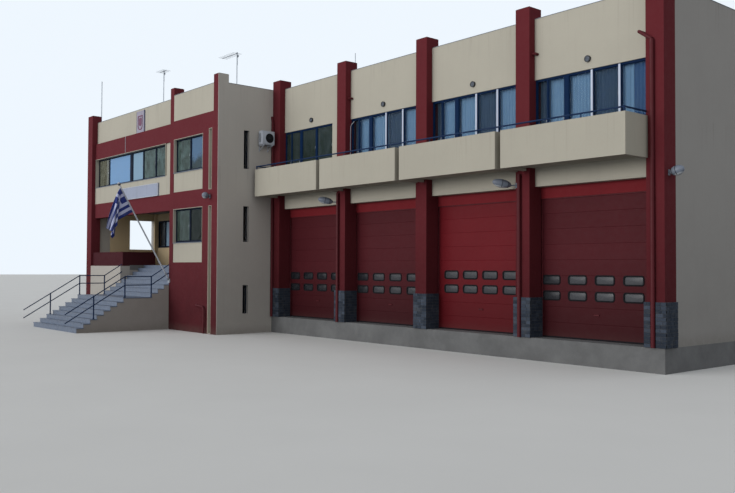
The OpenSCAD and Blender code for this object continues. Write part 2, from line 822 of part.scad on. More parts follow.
module office_window_frames() placed() color("navy") {
    window_frame(
        pilaster_left_w, wide_x1, office_sill_z, office_head_z, wall_y + wide_reveal, wide_bars
    );
    for (z = office_rows)
        window_frame(mid_x1, narrow_x1, z[0], z[1], face_y + narrow_reveal, narrow_bars);
    window_frame(
        loggia_window[0], loggia_window[1], first_sill_z, first_head_z, loggia_back_y + 60,
        loggia_bars
    );
}

module office_window_glass() placed() color("lightsteelblue") {
    window_glass(
        pilaster_left_w, wide_x1, office_sill_z, office_head_z, wall_y + wide_reveal, wide_bars
    );
    for (z = office_rows)
        window_glass(mid_x1, narrow_x1, z[0], z[1], face_y + narrow_reveal, narrow_bars);
    window_glass(
        loggia_window[0], loggia_window[1], first_sill_z, first_head_z, loggia_back_y + 60,
        loggia_bars
    );
    for (z = slit_zs)
        block(
            [slit_glass_x, -slit_out - slit_w, z[0]],
            [slit_glass_x + glass_t, -slit_out, z[1]]
        );
}

module entrance_door() placed() color("saddlebrown")
    block(
        [entrance_x - entrance_w, loggia_back_y + 60, first_floor_z],
        [entrance_x, loggia_back_y + 120, first_floor_z + entrance_h]
    );

// Back windows, each as [left end, right end, sill, head]
back_windows = concat(
    [
        for (i = [0 : bays - 1])
            [back_bay_x(i) - back_window_w / 2, back_bay_x(i) + back_window_w / 2, sill_z, head_z]
    ],
    [
        for (x = office_back_xs, z = office_rows)
            [x - back_window_w / 2, x + back_window_w / 2, z[0], z[1]]
    ]
);
back_frame_y = garage_d - 150;

module back_window_frames() placed() color("navy")
    for (w = back_windows)
        window_frame(w[0], w[1], w[2], w[3], back_frame_y, [[(w[0] + w[1]) / 2, frame_w * 1.5]]);

module back_window_glass() placed() color("lightsteelblue")
    for (w = back_windows)
        window_glass(w[0], w[1], w[2], w[3], back_frame_y, [[(w[0] + w[1]) / 2, frame_w * 1.5]]);

// STAIR

// Stepped outline of a flight, from the foot of its first riser up and inward
function steps(y0, z0, rise, n) = [
    for (i = [0 : n - 1], k = [0, 1])
        [y0 + i * going, z0 + (i + k) * rise]
];

module stair_prism(points)
    translate([well_x0, 0, 0])
        rotate([90, 0, 90]) linear_extrude(stair_w) polygon(points);

lower_y0 = landing_y0 - run;

// Solid flight and landing of masonry, under the marble treads
module lower_flight() placed() color("tan")
    stair_prism(concat(
        steps(lower_y0, ground, lower_rise, risers),
        [[landing_y1, landing_z], [landing_y1, ground]]
    ));

// The upper flight stands on the ground outside and ends on the loggia's floor
module upper_flight() placed() color("tan")
    stair_prism(concat(
        steps(landing_y1, landing_z, upper_rise, risers),
        [
            [well_y1, first_floor_z], [well_y1, first_floor_z - slab_t],
            [landing_y1 + run, first_floor_z - slab_t],
            [wall_in_y, first_floor_z - slab_t - (landing_y1 + run - wall_in_y) * upper_rise / going],
            [wall_in_y, ground], [landing_y1, ground]
        ]
    ));

module stair_treads() placed() color("whitesmoke") {
    for (i = [0 : risers - 2]) {
        block(
            [well_x0 - 20, lower_y0 + i * going - tread_nose, ground + (i + 1) * lower_rise],
            [mid_x0 + 20, lower_y0 + (i + 1) * going, ground + (i + 1) * lower_rise + tread_t]
        );
    }
    block([well_x0 - 20, landing_y0 - tread_nose, landing_z], [mid_x0 + 20, landing_y1, landing_z + tread_t]);
    for (i = [0 : risers - 2])
        block(
            [well_x0, landing_y1 + i * going - tread_nose, landing_z + (i + 1) * upper_rise],
            [mid_x0, landing_y1 + (i + 1) * going, landing_z + (i + 1) * upper_rise + tread_t]
        );
}

// Handrail and lower rail on three posts, at one side of the stair
module stair_railing(x) {
    foot_y = lower_y0 - 500;
    post_ys = [lower_y0 + 2.5 * going, landing_y0 + 70, landing_y1 - 20];
    post_zs = [ground + 3 * lower_rise, landing_z, landing_z];
    top_z = landing_z + stair_rail_h;
    line = [
        [foot_y, top_z - (post_ys[1] - foot_y) * lower_rise / going],
        [post_ys[1], top_z],
        [post_ys[2], top_z],
        [face_y + 60, top_z + (face_y + 60 - post_ys[2]) * upper_rise / going]
    ];
    for (drop = [0, stair_rail_drop], k = [0 : 2])
        bar([x, line[k][0], line[k][1] - drop], [x, line[k + 1][0], line[k + 1][1] - drop], stair_rail_dia);
    for (k = [0 : 2])
        bar(
            [x, post_ys[k], post_zs[k] + tread_t],
            [x, post_ys[k], top_z + 30 - max(0, post_ys[1] - post_ys[k]) * lower_rise / going],
            stair_rail_dia + 14
        );
}

module stair_railings() placed() color("darkslateblue") {
    stair_railing(well_x0 + 40);
    stair_railing(mid_x0 - 40);
}

// FITTINGS OF THE OFFICE

sign_x1 = mid_x0 - sign_off;
sign_z = upper_floor_z + 110;

module sign_board() placed() color("white")
    block([sign_x1 - sign_l, wall_y - sign_t, sign_z], [sign_x1, wall_y, sign_z + sign_h]);

crest_x1 = mid_x0 - crest_off;

module crest_panel() placed() color("cornsilk")
    block(
        [crest_x1 - crest_w, wall_y + parapet_set - crest_t, roof_z],
        [crest_x1, wall_y + parapet_set, roof_z + crest_h]
    );

// The case hangs on the office's right wall, on two brackets
module air_conditioner() placed() color("whitesmoke") {
    y1 = -170;
    z0 = upper_floor_z + cooler_z;
    block([office_l + 110, y1 - cooler_l, z0], [office_l + 110 + cooler_d, y1, z0 + cooler_h]);
    for (y = [y1 - cooler_l + 90, y1 - 130])
        difference() {
            block([office_l, y, z0 - 260], [office_l + 110 + cooler_d, y + 40, z0]);
            translate([office_l + 40, y - 1, z0 - 40]) rotate([0, 34, 0])
                translate([0, 0, -400]) cube([600, 42, 400]);
        }
}

// A mast on the roof. Its boom ends at the right of it and carries cross bars.
module mast(x, y, h, boom_l = 0, right = 0, teeth = 0) {
    bar([x, y, roof_z], [x, y, roof_z + h], mast_dia);
    if (teeth > 0) {
        z = roof_z + h - 60;
        bar([x + right - boom_l, y, z], [x + right, y, z], mast_dia * 0.6);
        for (k = [0 : teeth - 1])
            let (tooth_x = x + right - boom_l * (0.04 + 0.92 * k / (teeth - 1)))
                bar([tooth_x, y - cross_bar_l, z], [tooth_x, y + cross_bar_l, z], mast_dia * 0.3);
    }
}

mast_y = wall_in_y + mast_back;

module roof_masts() placed() color("lightgray") {
    mast(pilaster_left_w - 150, wall_in_y + 60, mast_1_h);
    mast(mid_x0 - mast_2_off, mast_y, mast_2_h, boom_2_l, boom_2_l * 0.4, 5);
    mast(mid_x0 - mast_3_off, mast_y, mast_3_h, boom_3_l, boom_3_l * 0.04, 8);
    translate([bay_in(1) - 50, column_d - 60, column_z]) cylinder(d = mast_dia * 0.6, h = mast_dia * 9);
}

// The flagpole leans out from a socket on the middle pilaster's face
pole_foot = [mid_x0 + 60, face_y - 30, first_floor_z - pole_drop];
function on_pole(s) = pole_foot + s * [0, -sin(pole_lean), cos(pole_lean)];

module flagpole() placed() color("whitesmoke") {
    block(pole_foot - [60, 20, 130], pole_foot + [60, 30, 60]);
    bar(pole_foot, on_pole(pole_l), pole_dia);
    bar(on_pole(pole_l), on_pole(pole_l + 90), pole_dia * 1.8);
}

// The cloth hangs in a fold below the upper part of the pole, on which one edge runs
flag_top = 160;

module flag() placed() color("cornflowerblue")
    translate([pole_foot[0] - 40, 0, 0])
        rotate([90, 0, 90]) linear_extrude(80)
            let (
                off = (pole_dia / 2 + 0.3) * [0, -cos(pole_lean), -sin(pole_lean)],
                a = on_pole(pole_l - flag_top) + off,
                b = on_pole(pole_l - flag_top - flag_h) + off
            )
            polygon([
                [a[1], a[2]], [b[1], b[2]],
                [b[1] - flag_h * 0.3, b[2] - flag_h * 0.2], [b[1] - flag_h * 0.7, b[2] - flag_h * 0.87],
                [b[1] - flag_h * 0.88, b[2] - flag_h * 0.87], [b[1] - flag_h * 0.82, b[2] + flag_h * 0.12]
            ]);

garage_plinth();
garage_column(0);  // column_1
garage_column(1);  // column_2
garage_column(2);  // column_3
garage_column(3);  // column_4
garage_column(4);  // column_5
stone_bases();
door_headers();
front_beams();
vehicle_door(0);  // vehicle_door_1
vehicle_door(1);  // vehicle_door_2
vehicle_door(2);  // vehicle_door_3
vehicle_door(3);  // vehicle_door_4
door_lights();
upper_floor();
garage_roof();
garage_parapet();
sill_walls();
upper_window_frames();
upper_window_glass();
garage_right_wall();
garage_back_wall();
balcony_slab();
balcony_wall();
balcony_rail();
downpipes();
wall_vents();
floodlights();
office_plinth();
office_first_floor();
office_upper_floor();
office_roof();
office_pilasters();
office_parapet();
office_red_walls();
office_cream_panels();
office_left_wall();
office_right_wall();
office_back_wall();
office_ground_wall();
loggia_wall();
loggia_back_wall();
loggia_side_wall();
loggia_post();
office_window_frames();
office_window_glass();
entrance_door();
back_window_frames();
back_window_glass();
lower_flight();
upper_flight();
stair_treads();
stair_railings();
sign_board();
crest_panel();
air_conditioner();
roof_masts();
flagpole();
flag();
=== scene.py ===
"""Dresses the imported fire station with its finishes, stone courses, panes and fittings.

Lengths are metres. The helper `at` takes a point in the building's own frame, with X
along the street front from its left end, Y into the building from the garage columns'
faces and Z up from the vehicle floor, and gives it in the part's frame.
"""

import logging
import math
import random
from dataclasses import dataclass, field
from enum import Enum
from itertools import product
from typing import Dict, List, Optional, Sequence, Tuple

import bmesh
import bpy
from mathutils import Matrix, Vector, noise


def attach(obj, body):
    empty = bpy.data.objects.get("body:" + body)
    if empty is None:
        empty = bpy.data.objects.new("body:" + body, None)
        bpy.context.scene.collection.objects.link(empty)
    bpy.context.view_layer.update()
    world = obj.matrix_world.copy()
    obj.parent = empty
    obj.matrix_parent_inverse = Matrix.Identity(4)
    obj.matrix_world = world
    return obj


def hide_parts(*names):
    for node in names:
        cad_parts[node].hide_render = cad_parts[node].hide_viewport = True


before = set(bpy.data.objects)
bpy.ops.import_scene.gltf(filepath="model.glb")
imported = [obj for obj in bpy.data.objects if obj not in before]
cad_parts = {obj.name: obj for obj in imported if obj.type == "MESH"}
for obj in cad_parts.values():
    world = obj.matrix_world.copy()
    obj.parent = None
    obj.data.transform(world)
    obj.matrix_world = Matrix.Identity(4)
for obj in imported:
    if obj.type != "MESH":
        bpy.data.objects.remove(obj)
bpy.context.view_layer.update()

logging.basicConfig(level=logging.INFO, format="%(levelname)s %(message)s")
LOG = logging.getLogger("station")

Colour = Tuple[float, float, float]
Point = Tuple[float, float, float]
Span = Tuple[float, float]
Socket = bpy.types.NodeSocket
Material = bpy.types.Material

# Places in the part's frame: the building's zero point and the garage's left end
VEHICLE_FLOOR = 0.7
LEFT_END = -16.5
COLUMN_FACES = -4.615
GARAGE_LEFT = -2.45
# Distance from one garage column to the next
BAY = 4.6


def at(x: float, y: float, z: float) -> Vector:
    """Gives a point of the building in the part's frame."""
    return Vector((x + LEFT_END, y + COLUMN_FACES, z + VEHICLE_FLOOR))


def srgb(r: int, g: int, b: int) -> Colour:
    """Turns a colour of 0 to 255 a channel into the linear one that shaders take."""
    return tuple(
        c / 3294.6 if c <= 10 else ((c / 255 + 0.055) / 1.055) ** 2.4 for c in (r, g, b)
    )


def shade(colour: Colour, k: float) -> Colour:
    """Gives a colour darker or paler by a factor."""
    return tuple(min(1.0, c * k) for c in colour)


class Axis(Enum):
    """An axis of the object coordinates."""

    X = 0
    Y = 1
    Z = 2


@dataclass(frozen=True)
class Levels:
    """Heights of the storeys and planes of the fronts, in the building's frame."""

    bay: float = BAY
    bays: int = 4
    garage_x: float = 14.05
    column_w: float = 0.55
    column_d: float = 0.59
    clear: float = 4.05
    right: float = 33.0
    back: float = 12.0
    wall_t: float = 0.3
    door: float = 4.37
    upper_floor: float = 5.45
    sill: float = 6.43
    head: float = 8.10
    roof: float = 8.85
    parapet: float = 10.04
    column: float = 10.41
    face: float = -2.77
    band: float = -2.47
    wall_in: float = -2.27
    pilasters: Tuple[Tuple[float, float], ...] = ((0.0, 0.6), (9.72, 10.07), (13.65, 14.05))

    def bay_x(self, i: int) -> float:
        """Gives the left edge of a garage column."""
        return self.garage_x + i * self.bay

    def bay_in(self, i: int) -> float:
        """Gives the left edge of the clear width of a bay."""
        return self.bay_x(i) + self.column_w

    def rear_middles(self) -> Tuple[List[float], List[float]]:
        """Gives the middles of the back windows, of the garage and of the office."""
        bays = [self.bay_in(i) + self.clear / 2 for i in range(self.bays)]
        return bays, [self.garage_x * k / 4 for k in (1, 2, 3)]


LV = Levels()


class Graph:
    """A material's node tree, with short calls for the nodes that the finishes use."""

    def __init__(self, name: str) -> None:
        """Starts an empty principled material of that name."""
        self.material = bpy.data.materials.new(name)
        self.material.use_nodes = True
        self.tree = self.material.node_tree
        self.tree.nodes.clear()
        self.bsdf = self.node("BsdfPrincipled")
        self.node("OutputMaterial", Surface=self.bsdf.outputs[0])
        self.source = self.node("TexCoord").outputs["Object"]

    def link(self, a: Socket, b: Socket) -> None:
        """Joins an output to an input."""
        self.tree.links.new(a, b)

    def feed(self, socket: Socket, value: object) -> None:
        """Links a socket to an input, or sets the input's own value."""
        if isinstance(value, Socket):
            self.link(value, socket)
        elif isinstance(value, tuple) and len(value) == 3 and socket.type == "RGBA":
            socket.default_value = (*value, 1.0)
        else:
            socket.default_value = value

    def node(self, kind: str, **inputs: object) -> bpy.types.Node:
        """Adds a node of that kind and feeds the inputs that are named."""
        made = self.tree.nodes.new("ShaderNode" + kind)
        for name, value in inputs.items():
            self.feed(made.inputs[name], value)
        return made

    def spread(self, scale: Point = (1, 1, 1)) -> Socket:
        """Gives the object coordinates, stretched by a factor on each axis."""
        return self.node("Mapping", Scale=scale, Vector=self.source).outputs[0]

    def noise(
        self, scale: float, detail: float = 3.0, rough: float = 0.55, stretch: Point = (1, 1, 1),
        warp: float = 0.0,
    ) -> Socket:
        """Gives a noise of 0 to 1, about `scale` grains a metre."""
        return self.node(
            "TexNoise", Scale=scale, Detail=detail, Roughness=rough, Distortion=warp,
            Vector=self.spread(stretch),
        ).outputs["Fac"]

    def cells(self, scale: float) -> Socket:
        """Gives a Voronoi distance pattern."""
        return self.node("TexVoronoi", Scale=scale, Vector=self.spread()).outputs["Distance"]

    def height(self, axis: Axis = Axis.Z) -> Socket:
        """Gives one object coordinate by itself."""
        return self.node("SeparateXYZ", Vector=self.source).outputs[axis.value]

    def between(
        self, value: Socket, low: float, high: float, a: float = 0.0, b: float = 1.0
    ) -> Socket:
        """Maps a value from low..high smoothly onto a..b."""
        node = self.node("MapRange")
        node.interpolation_type = "SMOOTHSTEP"
        for k, v in enumerate((low, high, a, b)):
            node.inputs[k + 1].default_value = v
        self.link(value, node.inputs[0])
        return node.outputs[0]

    def math(self, kind: str, a: object, b: object = 0.0) -> Socket:
        """Gives the result of a Math node."""
        node = self.node("Math")
        node.operation = kind
        self.feed(node.inputs[0], a)
        self.feed(node.inputs[1], b)
        return node.outputs[0]

    def mix(self, fac: object, a: object, b: object) -> Socket:
        """Mixes two colours by a factor."""
        node = self.node("Mix")
        node.data_type = "RGBA"
        for k, value in ((0, fac), (6, a), (7, b)):
            self.feed(node.inputs[k], value)
        return node.outputs[2]

    def fleck(
        self, tone: object, other: object, noise: Tuple, low: float, high: float, a: float = 0.0,
        b: float = 1.0,
    ) -> Socket:
        """Lays another colour over a tone, as far as a noise maps from low..high onto a..b."""
        return self.mix(self.between(self.noise(*noise), low, high, a, b), tone, other)

    def worn(self, noise: Tuple, a: float, b: float) -> Socket:
        """Gives a roughness that wanders between a and b with a noise."""
        return self.between(self.noise(*noise), 0.2, 0.8, a, b)

    def bump(
        self, tall: object, depth: float, strength: float = 1.0,
        under: Optional[Socket] = None,
    ) -> Socket:
        """Gives a normal from a height, `depth` metres high at most."""
        node = self.node("Bump", Strength=strength, Distance=depth, Height=tall)
        if under is not None:
            self.link(under, node.inputs["Normal"])
        return node.outputs[0]

    def attribute(self, name: str) -> Socket:
        """Gives the number that each face of a piece carries under that name."""
        node = self.node("Attribute")
        node.attribute_name = name
        return node.outputs["Fac"]

    def finish(
        self, colour: object, rough: object, normal: Optional[Socket] = None,
        metal: float = 0.0, gloss: float = 0.5,
    ) -> Material:
        """Feeds the shader and gives the material."""
        inputs = self.bsdf.inputs
        self.feed(inputs["Base Color"], colour)
        self.feed(inputs["Roughness"], rough)
        inputs["Metallic"].default_value = metal
        inputs["Specular IOR Level"].default_value = gloss
        if normal is not None:
            self.link(normal, inputs["Normal"])
        return self.material


@dataclass(frozen=True)
class Finish:
    """A finish by name and main colour. Each kind lays its own nodes."""

    name: str
    colour: Colour

    def lay(self, g: Graph) -> Material:
        """Feeds the shader with the plain colour."""
        return g.finish(self.colour, 0.5)

    def material(self) -> Material:
        """Builds the node material."""
        return self.lay(Graph(self.name))


@dataclass(frozen=True)
class Plaster(Finish):
    """Masonry paint on render: trowelled grain, faint patches and rain streaks; where asked, painted shade,
    mottled like grime, darkens it towards the foot, and dirt splashes the foot.
    """

    stain: Colour
    streak: float = 0.2
    grain: float = 0.0015
    shade_and_grime: float = 0.0
    foot: float = 0.7
    drips: Tuple[float, ...] = (11.11, 10.74, 7.13)

    def streaks(self, g: Graph) -> Socket:
        """Gives the mask of thin runs, strongest just below an edge that sheds rain."""
        runs = g.between(g.noise(7.0, 4, 0.7, (1, 1, 0.035), 0.15), 0.5, 0.82)
        reach = 0.22
        for level in self.drips:
            below = g.between(g.height(), level - 1.4, level)
            under = g.math("LESS_THAN", g.height(), level + 0.01)
            reach = g.math("MAXIMUM", reach, g.math("MULTIPLY", below, under))
        return g.math("MULTIPLY", g.math("MULTIPLY", runs, reach), self.streak)

    def lay(self, g: Graph) -> Material:
        """Lays the nodes."""
        patches = g.between(g.noise(0.45, 5, 0.6), 0.3, 0.7, 0.0, 0.4)
        tone = g.mix(patches, self.colour, shade(self.colour, 0.88))
        fine = g.between(g.noise(42, 4, 0.7), 0.3, 0.8, 0.0, 0.16)
        tone = g.mix(fine, tone, shade(self.colour, 0.74))
        tone = g.mix(self.streaks(g), tone, self.stain)
        # Painted shade: darker towards the foot, where less light reaches the walls, mottled like grime. The
        # light splash just above the foot is dirt.
        if self.shade_and_grime:
            low = g.between(g.height(), self.foot, self.foot + 5.5, self.shade_and_grime, 0.0)
            cloud = g.between(g.noise(1.6, 5, 0.65), 0.2, 0.7, 0.65, 1.0)
            tone = g.mix(g.math("MULTIPLY", low, cloud), tone, shade(self.colour, 0.42))
            splash = g.between(g.height(), self.foot, self.foot + 0.45, 0.45, 0.0)
            tone = g.mix(g.math("MULTIPLY", splash, g.noise(6, 4, 0.7)), tone, srgb(98, 92, 84))
        rough = g.worn((9, 2), 0.8, 0.96)
        normal = g.bump(g.noise(14, 5, 0.7), self.grain * 2, 0.6)
        normal = g.bump(g.cells(170), self.grain, 0.5, normal)
        return g.finish(tone, rough, normal, gloss=0.12)


@dataclass(frozen=True)
class Paint(Finish):
    """Paint on metal, a little uneven, with dust in places and worn, chalky patches; on the doors painted
    shade darkens it towards the floor, and dirt splashes its foot.
    """

    dust: Colour
    dusty: float = 0.12
    rough: float = 0.45
    level: float = 0.3
    shade_and_grime: float = 0.0
    panel: float = 0.0

    def lay(self, g: Graph) -> Material:
        """Lays the nodes."""
        cloud = g.between(g.noise(0.9, 4, 0.6), 0.3, 0.75, 0.0, 0.4)
        tone = g.mix(cloud, self.colour, shade(self.colour, 0.82))
        if self.panel:
            above = g.math("SUBTRACT", g.height(), VEHICLE_FLOOR)
            along = g.math("SUBTRACT", g.height(Axis.X), GARAGE_LEFT)
            row = g.math("FLOOR", g.math("DIVIDE", above, self.panel))
            column = g.math("FLOOR", g.math("DIVIDE", along, BAY))
            dice = g.node("TexWhiteNoise")
            dice.noise_dimensions = "1D"
            g.link(g.math("ADD", row, g.math("MULTIPLY", column, 17.0)), dice.inputs["W"])
            tone = g.mix(g.math("MULTIPLY", dice.outputs["Value"], 0.5), tone, shade(self.colour, 0.8))
        tone = g.fleck(tone, self.dust, (40, 4, 0.7), 0.5, 0.85, 0.0, self.dusty)
        streaks = g.between(g.noise(5, 4, 0.7, (1, 1, 0.05)), 0.5, 0.8, 0.0, self.dusty)
        tone = g.mix(streaks, tone, self.dust)
        # Painted shade: darker towards the floor, up to 3.6 m. The splash at the foot is dirt.
        if self.shade_and_grime:
            low = g.between(g.height(), VEHICLE_FLOOR, 3.6, self.shade_and_grime, 0.0)
            tone = g.mix(low, tone, shade(self.colour, 0.4))
            splash = g.between(g.height(), VEHICLE_FLOOR, 1.05, 0.3, 0.0)
            tone = g.mix(g.math("MULTIPLY", splash, g.noise(5, 5, 0.7)), tone, srgb(84, 62, 60))
        rough = g.worn((6, 3), self.rough * 0.85, min(1.0, self.rough * 1.25))
        return g.finish(tone, rough, g.bump(g.noise(90, 2), 0.0004, 0.5), gloss=self.level)


@dataclass(frozen=True)
class Stone(Finish):
    """Split grey-blue stone. Each stone carries a tone of its own."""

    pale: Colour
    depth: float = 0.004

    def lay(self, g: Graph) -> Material:
        """Lays the nodes."""
        tone = g.mix(g.attribute("tone"), self.colour, self.pale)
        flecks = g.between(g.noise(22, 6, 0.75), 0.35, 0.75)
        tone = g.mix(g.math("MULTIPLY", flecks, 0.5), tone, shade(self.pale, 0.55))
        tone = g.fleck(tone, srgb(104, 102, 98), (4, 3), 0.5, 0.8, 0, 0.2)
        normal = g.bump(g.noise(16, 8, 0.75, (1, 1, 2.2)), self.depth, 0.9)
        return g.finish(tone, g.worn((11,), 0.6, 0.85), normal, gloss=0.12)


@dataclass(frozen=True)
class Concrete(Finish):
    """Cast concrete with pores, cement patches and damp edges."""

    pores: float = 0.002

    def lay(self, g: Graph) -> Material:
        """Lays the nodes."""
        tone = g.fleck(self.colour, shade(self.colour, 0.7), (0.8, 6, 0.65), 0.3, 0.7)
        tone = g.fleck(tone, shade(self.colour, 0.5), (35, 4, 0.7), 0.5, 0.8, 0, 0.4)
        normal = g.bump(g.noise(25, 6, 0.7), self.pores, 0.8)
        return g.finish(tone, g.worn((5,), 0.75, 0.95), normal)


@dataclass(frozen=True)
class RoofFelt(Finish):
    """Mineral felt laid in strips, with lapped seams and dust."""

    def lay(self, g: Graph) -> Material:
        """Lays the nodes."""
        sizes = {"Scale": 1.0, "Mortar Size": 0.012, "Brick Width": 8.0, "Row Height": 1.0}
        strips = g.node("TexBrick", Vector=g.spread(), **sizes)
        tone = g.fleck(self.colour, shade(self.colour, 0.75), (0.6, 5), 0.3, 0.7)
        tone = g.fleck(tone, shade(self.colour, 1.5), (120, 2), 0.45, 0.7, 0, 0.5)
        tone = g.mix(strips.outputs["Fac"], tone, shade(self.colour, 0.4))
        normal = g.bump(strips.outputs["Fac"], 0.006, -0.8)
        normal = g.bump(g.noise(140, 2), 0.002, 0.6, normal)
        return g.finish(tone, 0.9, normal)


@dataclass(frozen=True)
class Marble(Finish):
    """Honed pale marble with grey veins and walked-on dirt."""

    vein: Colour

    def lay(self, g: Graph) -> Material:
        """Lays the nodes."""
        veins = g.between(g.noise(1.6, 8, 0.7, (1, 1, 1), 1.6), 0.47, 0.53)
        away = g.math("ABSOLUTE", g.math("SUBTRACT", g.math("MULTIPLY", veins, 2.0), 1.0))
        ridge = g.math("SUBTRACT", 1.0, away)
        tone = g.mix(g.math("MULTIPLY", ridge, 0.5), self.colour, self.vein)
        tone = g.fleck(tone, srgb(118, 118, 116), (3, 5, 0.7), 0.5, 0.8, 0, 0.35)
        rough = g.worn((7, 4), 0.32, 0.6)
        return g.finish(tone, rough, g.bump(g.noise(50, 4), 0.0006, 0.5))


@dataclass(frozen=True)
class Glazing(Finish):
    """Sheet glass, a little dusty. A pane's tone leads from the first tint to the second; where asked, a
    painted reflection of trees and painted highlights lie over it.
    """

    second: Colour
    cover: float = 0.35
    tree_reflection: Optional[Colour] = None
    skyline: float = 0.0
    gloss: float = 0.2

    def lay(self, g: Graph) -> Material:
        """Lays the nodes."""
        tone = g.mix(g.attribute("tone"), self.colour, self.second)
        # Painted reflection of trees in soft blotches; where a skyline is given, below a wavy line at that
        # height instead.
        if self.tree_reflection:
            reflected_leaves = g.between(g.noise(2.6, 6, 0.7, (1, 1, 0.7), 0.6), 0.42, 0.6, 0.0, 0.85)
            if self.skyline:
                edge = g.math("ADD", g.height(), g.math("MULTIPLY", g.noise(3.0, 5), 0.9))
                reflected_leaves = g.between(edge, self.skyline, self.skyline + 0.5, 0.9, 0.0)
            tone = g.mix(reflected_leaves, tone, self.tree_reflection)
            # Painted highlights: thin lighter vertical streaks on the glass.
            folds = g.between(g.noise(7, 2, 0.5, (1, 1, 0.02)), 0.45, 0.75, 0.0, 0.4)
            tone = g.mix(folds, tone, shade(self.second, 1.25))
        tone = g.fleck(tone, srgb(140, 146, 150), (2.5, 5, 0.6), 0.4, 0.8, 0.0, 0.08)
        g.bsdf.inputs["Specular Tint"].default_value = (0.55, 0.78, 1.0, 1.0)
        g.bsdf.inputs["Alpha"].default_value = self.cover
        g.material.surface_render_method = "BLENDED"
        rough = g.between(g.noise(3, 4), 0.3, 0.8, 0.03, 0.10)
        return g.finish(tone, rough, g.bump(g.noise(1.5, 1), 0.002, 0.35), gloss=self.gloss)


@dataclass(frozen=True)
class Acrylic(Finish):
    """Cloudy double-skinned acrylic of the doors' small windows, dark or pale by tone."""

    pale: Colour

    def lay(self, g: Graph) -> Material:
        """Lays the nodes."""
        tone = g.mix(g.attribute("tone"), self.colour, self.pale)
        haze = g.between(g.noise(3.2, 3, 0.5, (1, 1, 1.6)), 0.35, 0.7, 0.0, 0.35)
        tone = g.mix(haze, tone, shade(self.pale, 0.7))
        tone = g.fleck(tone, srgb(120, 114, 106), (60, 3, 0.7), 0.55, 0.85, 0, 0.2)
        rough = g.worn((8,), 0.2, 0.35)
        return g.finish(tone, rough, g.bump(g.noise(4, 1), 0.001, 0.3), gloss=0.12)


@dataclass(frozen=True)
class Metal(Finish):
    """Bare or zinc-coated metal with a crystalline bloom."""

    rough: float = 0.42
    metal: float = 0.9

    def lay(self, g: Graph) -> Material:
        """Lays the nodes."""
        bloom = g.between(g.cells(28), 0.1, 0.6)
        tone = g.mix(bloom, self.colour, shade(self.colour, 0.72))
        tone = g.fleck(tone, srgb(96, 80, 66), (12, 6, 0.7), 0.58, 0.8, 0, 0.5)
        rough = g.worn((18, 3), self.rough * 0.8, self.rough * 1.3)
        return g.finish(tone, rough, g.bump(g.noise(70, 3), 0.0004, 0.5), self.metal)


@dataclass(frozen=True)
class Rubber(Finish):
    """Black rubber or plastic with a chalky bloom."""

    def lay(self, g: Graph) -> Material:
        """Lays the nodes."""
        tone = g.fleck(self.colour, srgb(60, 60, 60), (30, 4), 0.4, 0.8, 0, 0.25)
        rough = g.worn((12,), 0.55, 0.8)
        return g.finish(tone, rough, g.bump(g.noise(160, 2), 0.0004, 0.6), gloss=0.05)


@dataclass(frozen=True)
class Timber(Finish):
    """Varnished wood with a grain along Z."""

    grain: Colour

    def lay(self, g: Graph) -> Material:
        """Lays the nodes."""
        lines = g.noise(16, 8, 0.65, (1, 1, 0.06), 1.2)
        tone = g.mix(g.between(lines, 0.35, 0.7), self.colour, self.grain)
        rough = g.worn((5,), 0.28, 0.45)
        return g.finish(tone, rough, g.bump(lines, 0.0008, 0.6))


@dataclass(frozen=True)
class Weave(Finish):
    """Thin woven cloth: a plain tone, with the weave's bump along its own UV map."""

    fold: Colour
    threads: float = 420.0

    def tone(self, g: Graph) -> Socket:
        """Gives the cloth's colour."""
        return g.fleck(self.colour, self.fold, (2.2, 3), 0.3, 0.75, 0, 0.6)

    def lay(self, g: Graph) -> Material:
        """Lays the nodes."""
        uv = g.node("UVMap").outputs[0]
        heights = []
        for axis in ("X", "Y"):
            wave = g.node("TexWave", Scale=self.threads / 20, Vector=uv)
            wave.bands_direction = axis
            heights.append(wave.outputs["Fac"])
        normal = g.bump(g.math("ADD", *heights), 0.0005, 0.5)
        g.bsdf.inputs["Sheen Weight"].default_value = 0.2
        return g.finish(self.tone(g), 0.85, normal, gloss=0.15)


@dataclass(frozen=True)
class StripedWeave(Weave):
    """Flag cloth: nine stripes by turns, and a cross on a square by the hoist."""

    stripes: int = 9
    canton_u: float = 0.37
    cross_u: float = 0.037

    def tone(self, g: Graph) -> Socket:
        """Gives the colour from the cloth's own UV map, U along the fly, V up the hoist."""
        split = g.node("SeparateXYZ", Vector=g.node("UVMap").outputs[0])
        u, v = split.outputs[0], split.outputs[1]
        low, middle, half = 4 / self.stripes, 6.5 / self.stripes, 0.5 / self.stripes
        odd = g.math("MODULO", g.math("FLOOR", g.math("MULTIPLY", v, float(self.stripes))), 2.0)
        canton = g.math("MULTIPLY", g.math("LESS_THAN", u, self.canton_u), g.math("GREATER_THAN", v, low))
        bar_v = g.math("LESS_THAN", g.math("ABSOLUTE", g.math("SUBTRACT", v, middle)), half)
        aside = g.math("ABSOLUTE", g.math("SUBTRACT", u, self.canton_u / 2))
        cross = g.math("MAXIMUM", bar_v, g.math("LESS_THAN", aside, self.cross_u))
        striped = g.math("MULTIPLY", odd, g.math("SUBTRACT", 1.0, canton))
        white = g.math("ADD", striped, g.math("MULTIPLY", canton, cross))
        plain = g.mix(white, self.colour, self.fold)
        return g.fleck(plain, srgb(120, 128, 150), (3, 3), 0.4, 0.8, 0, 0.2)


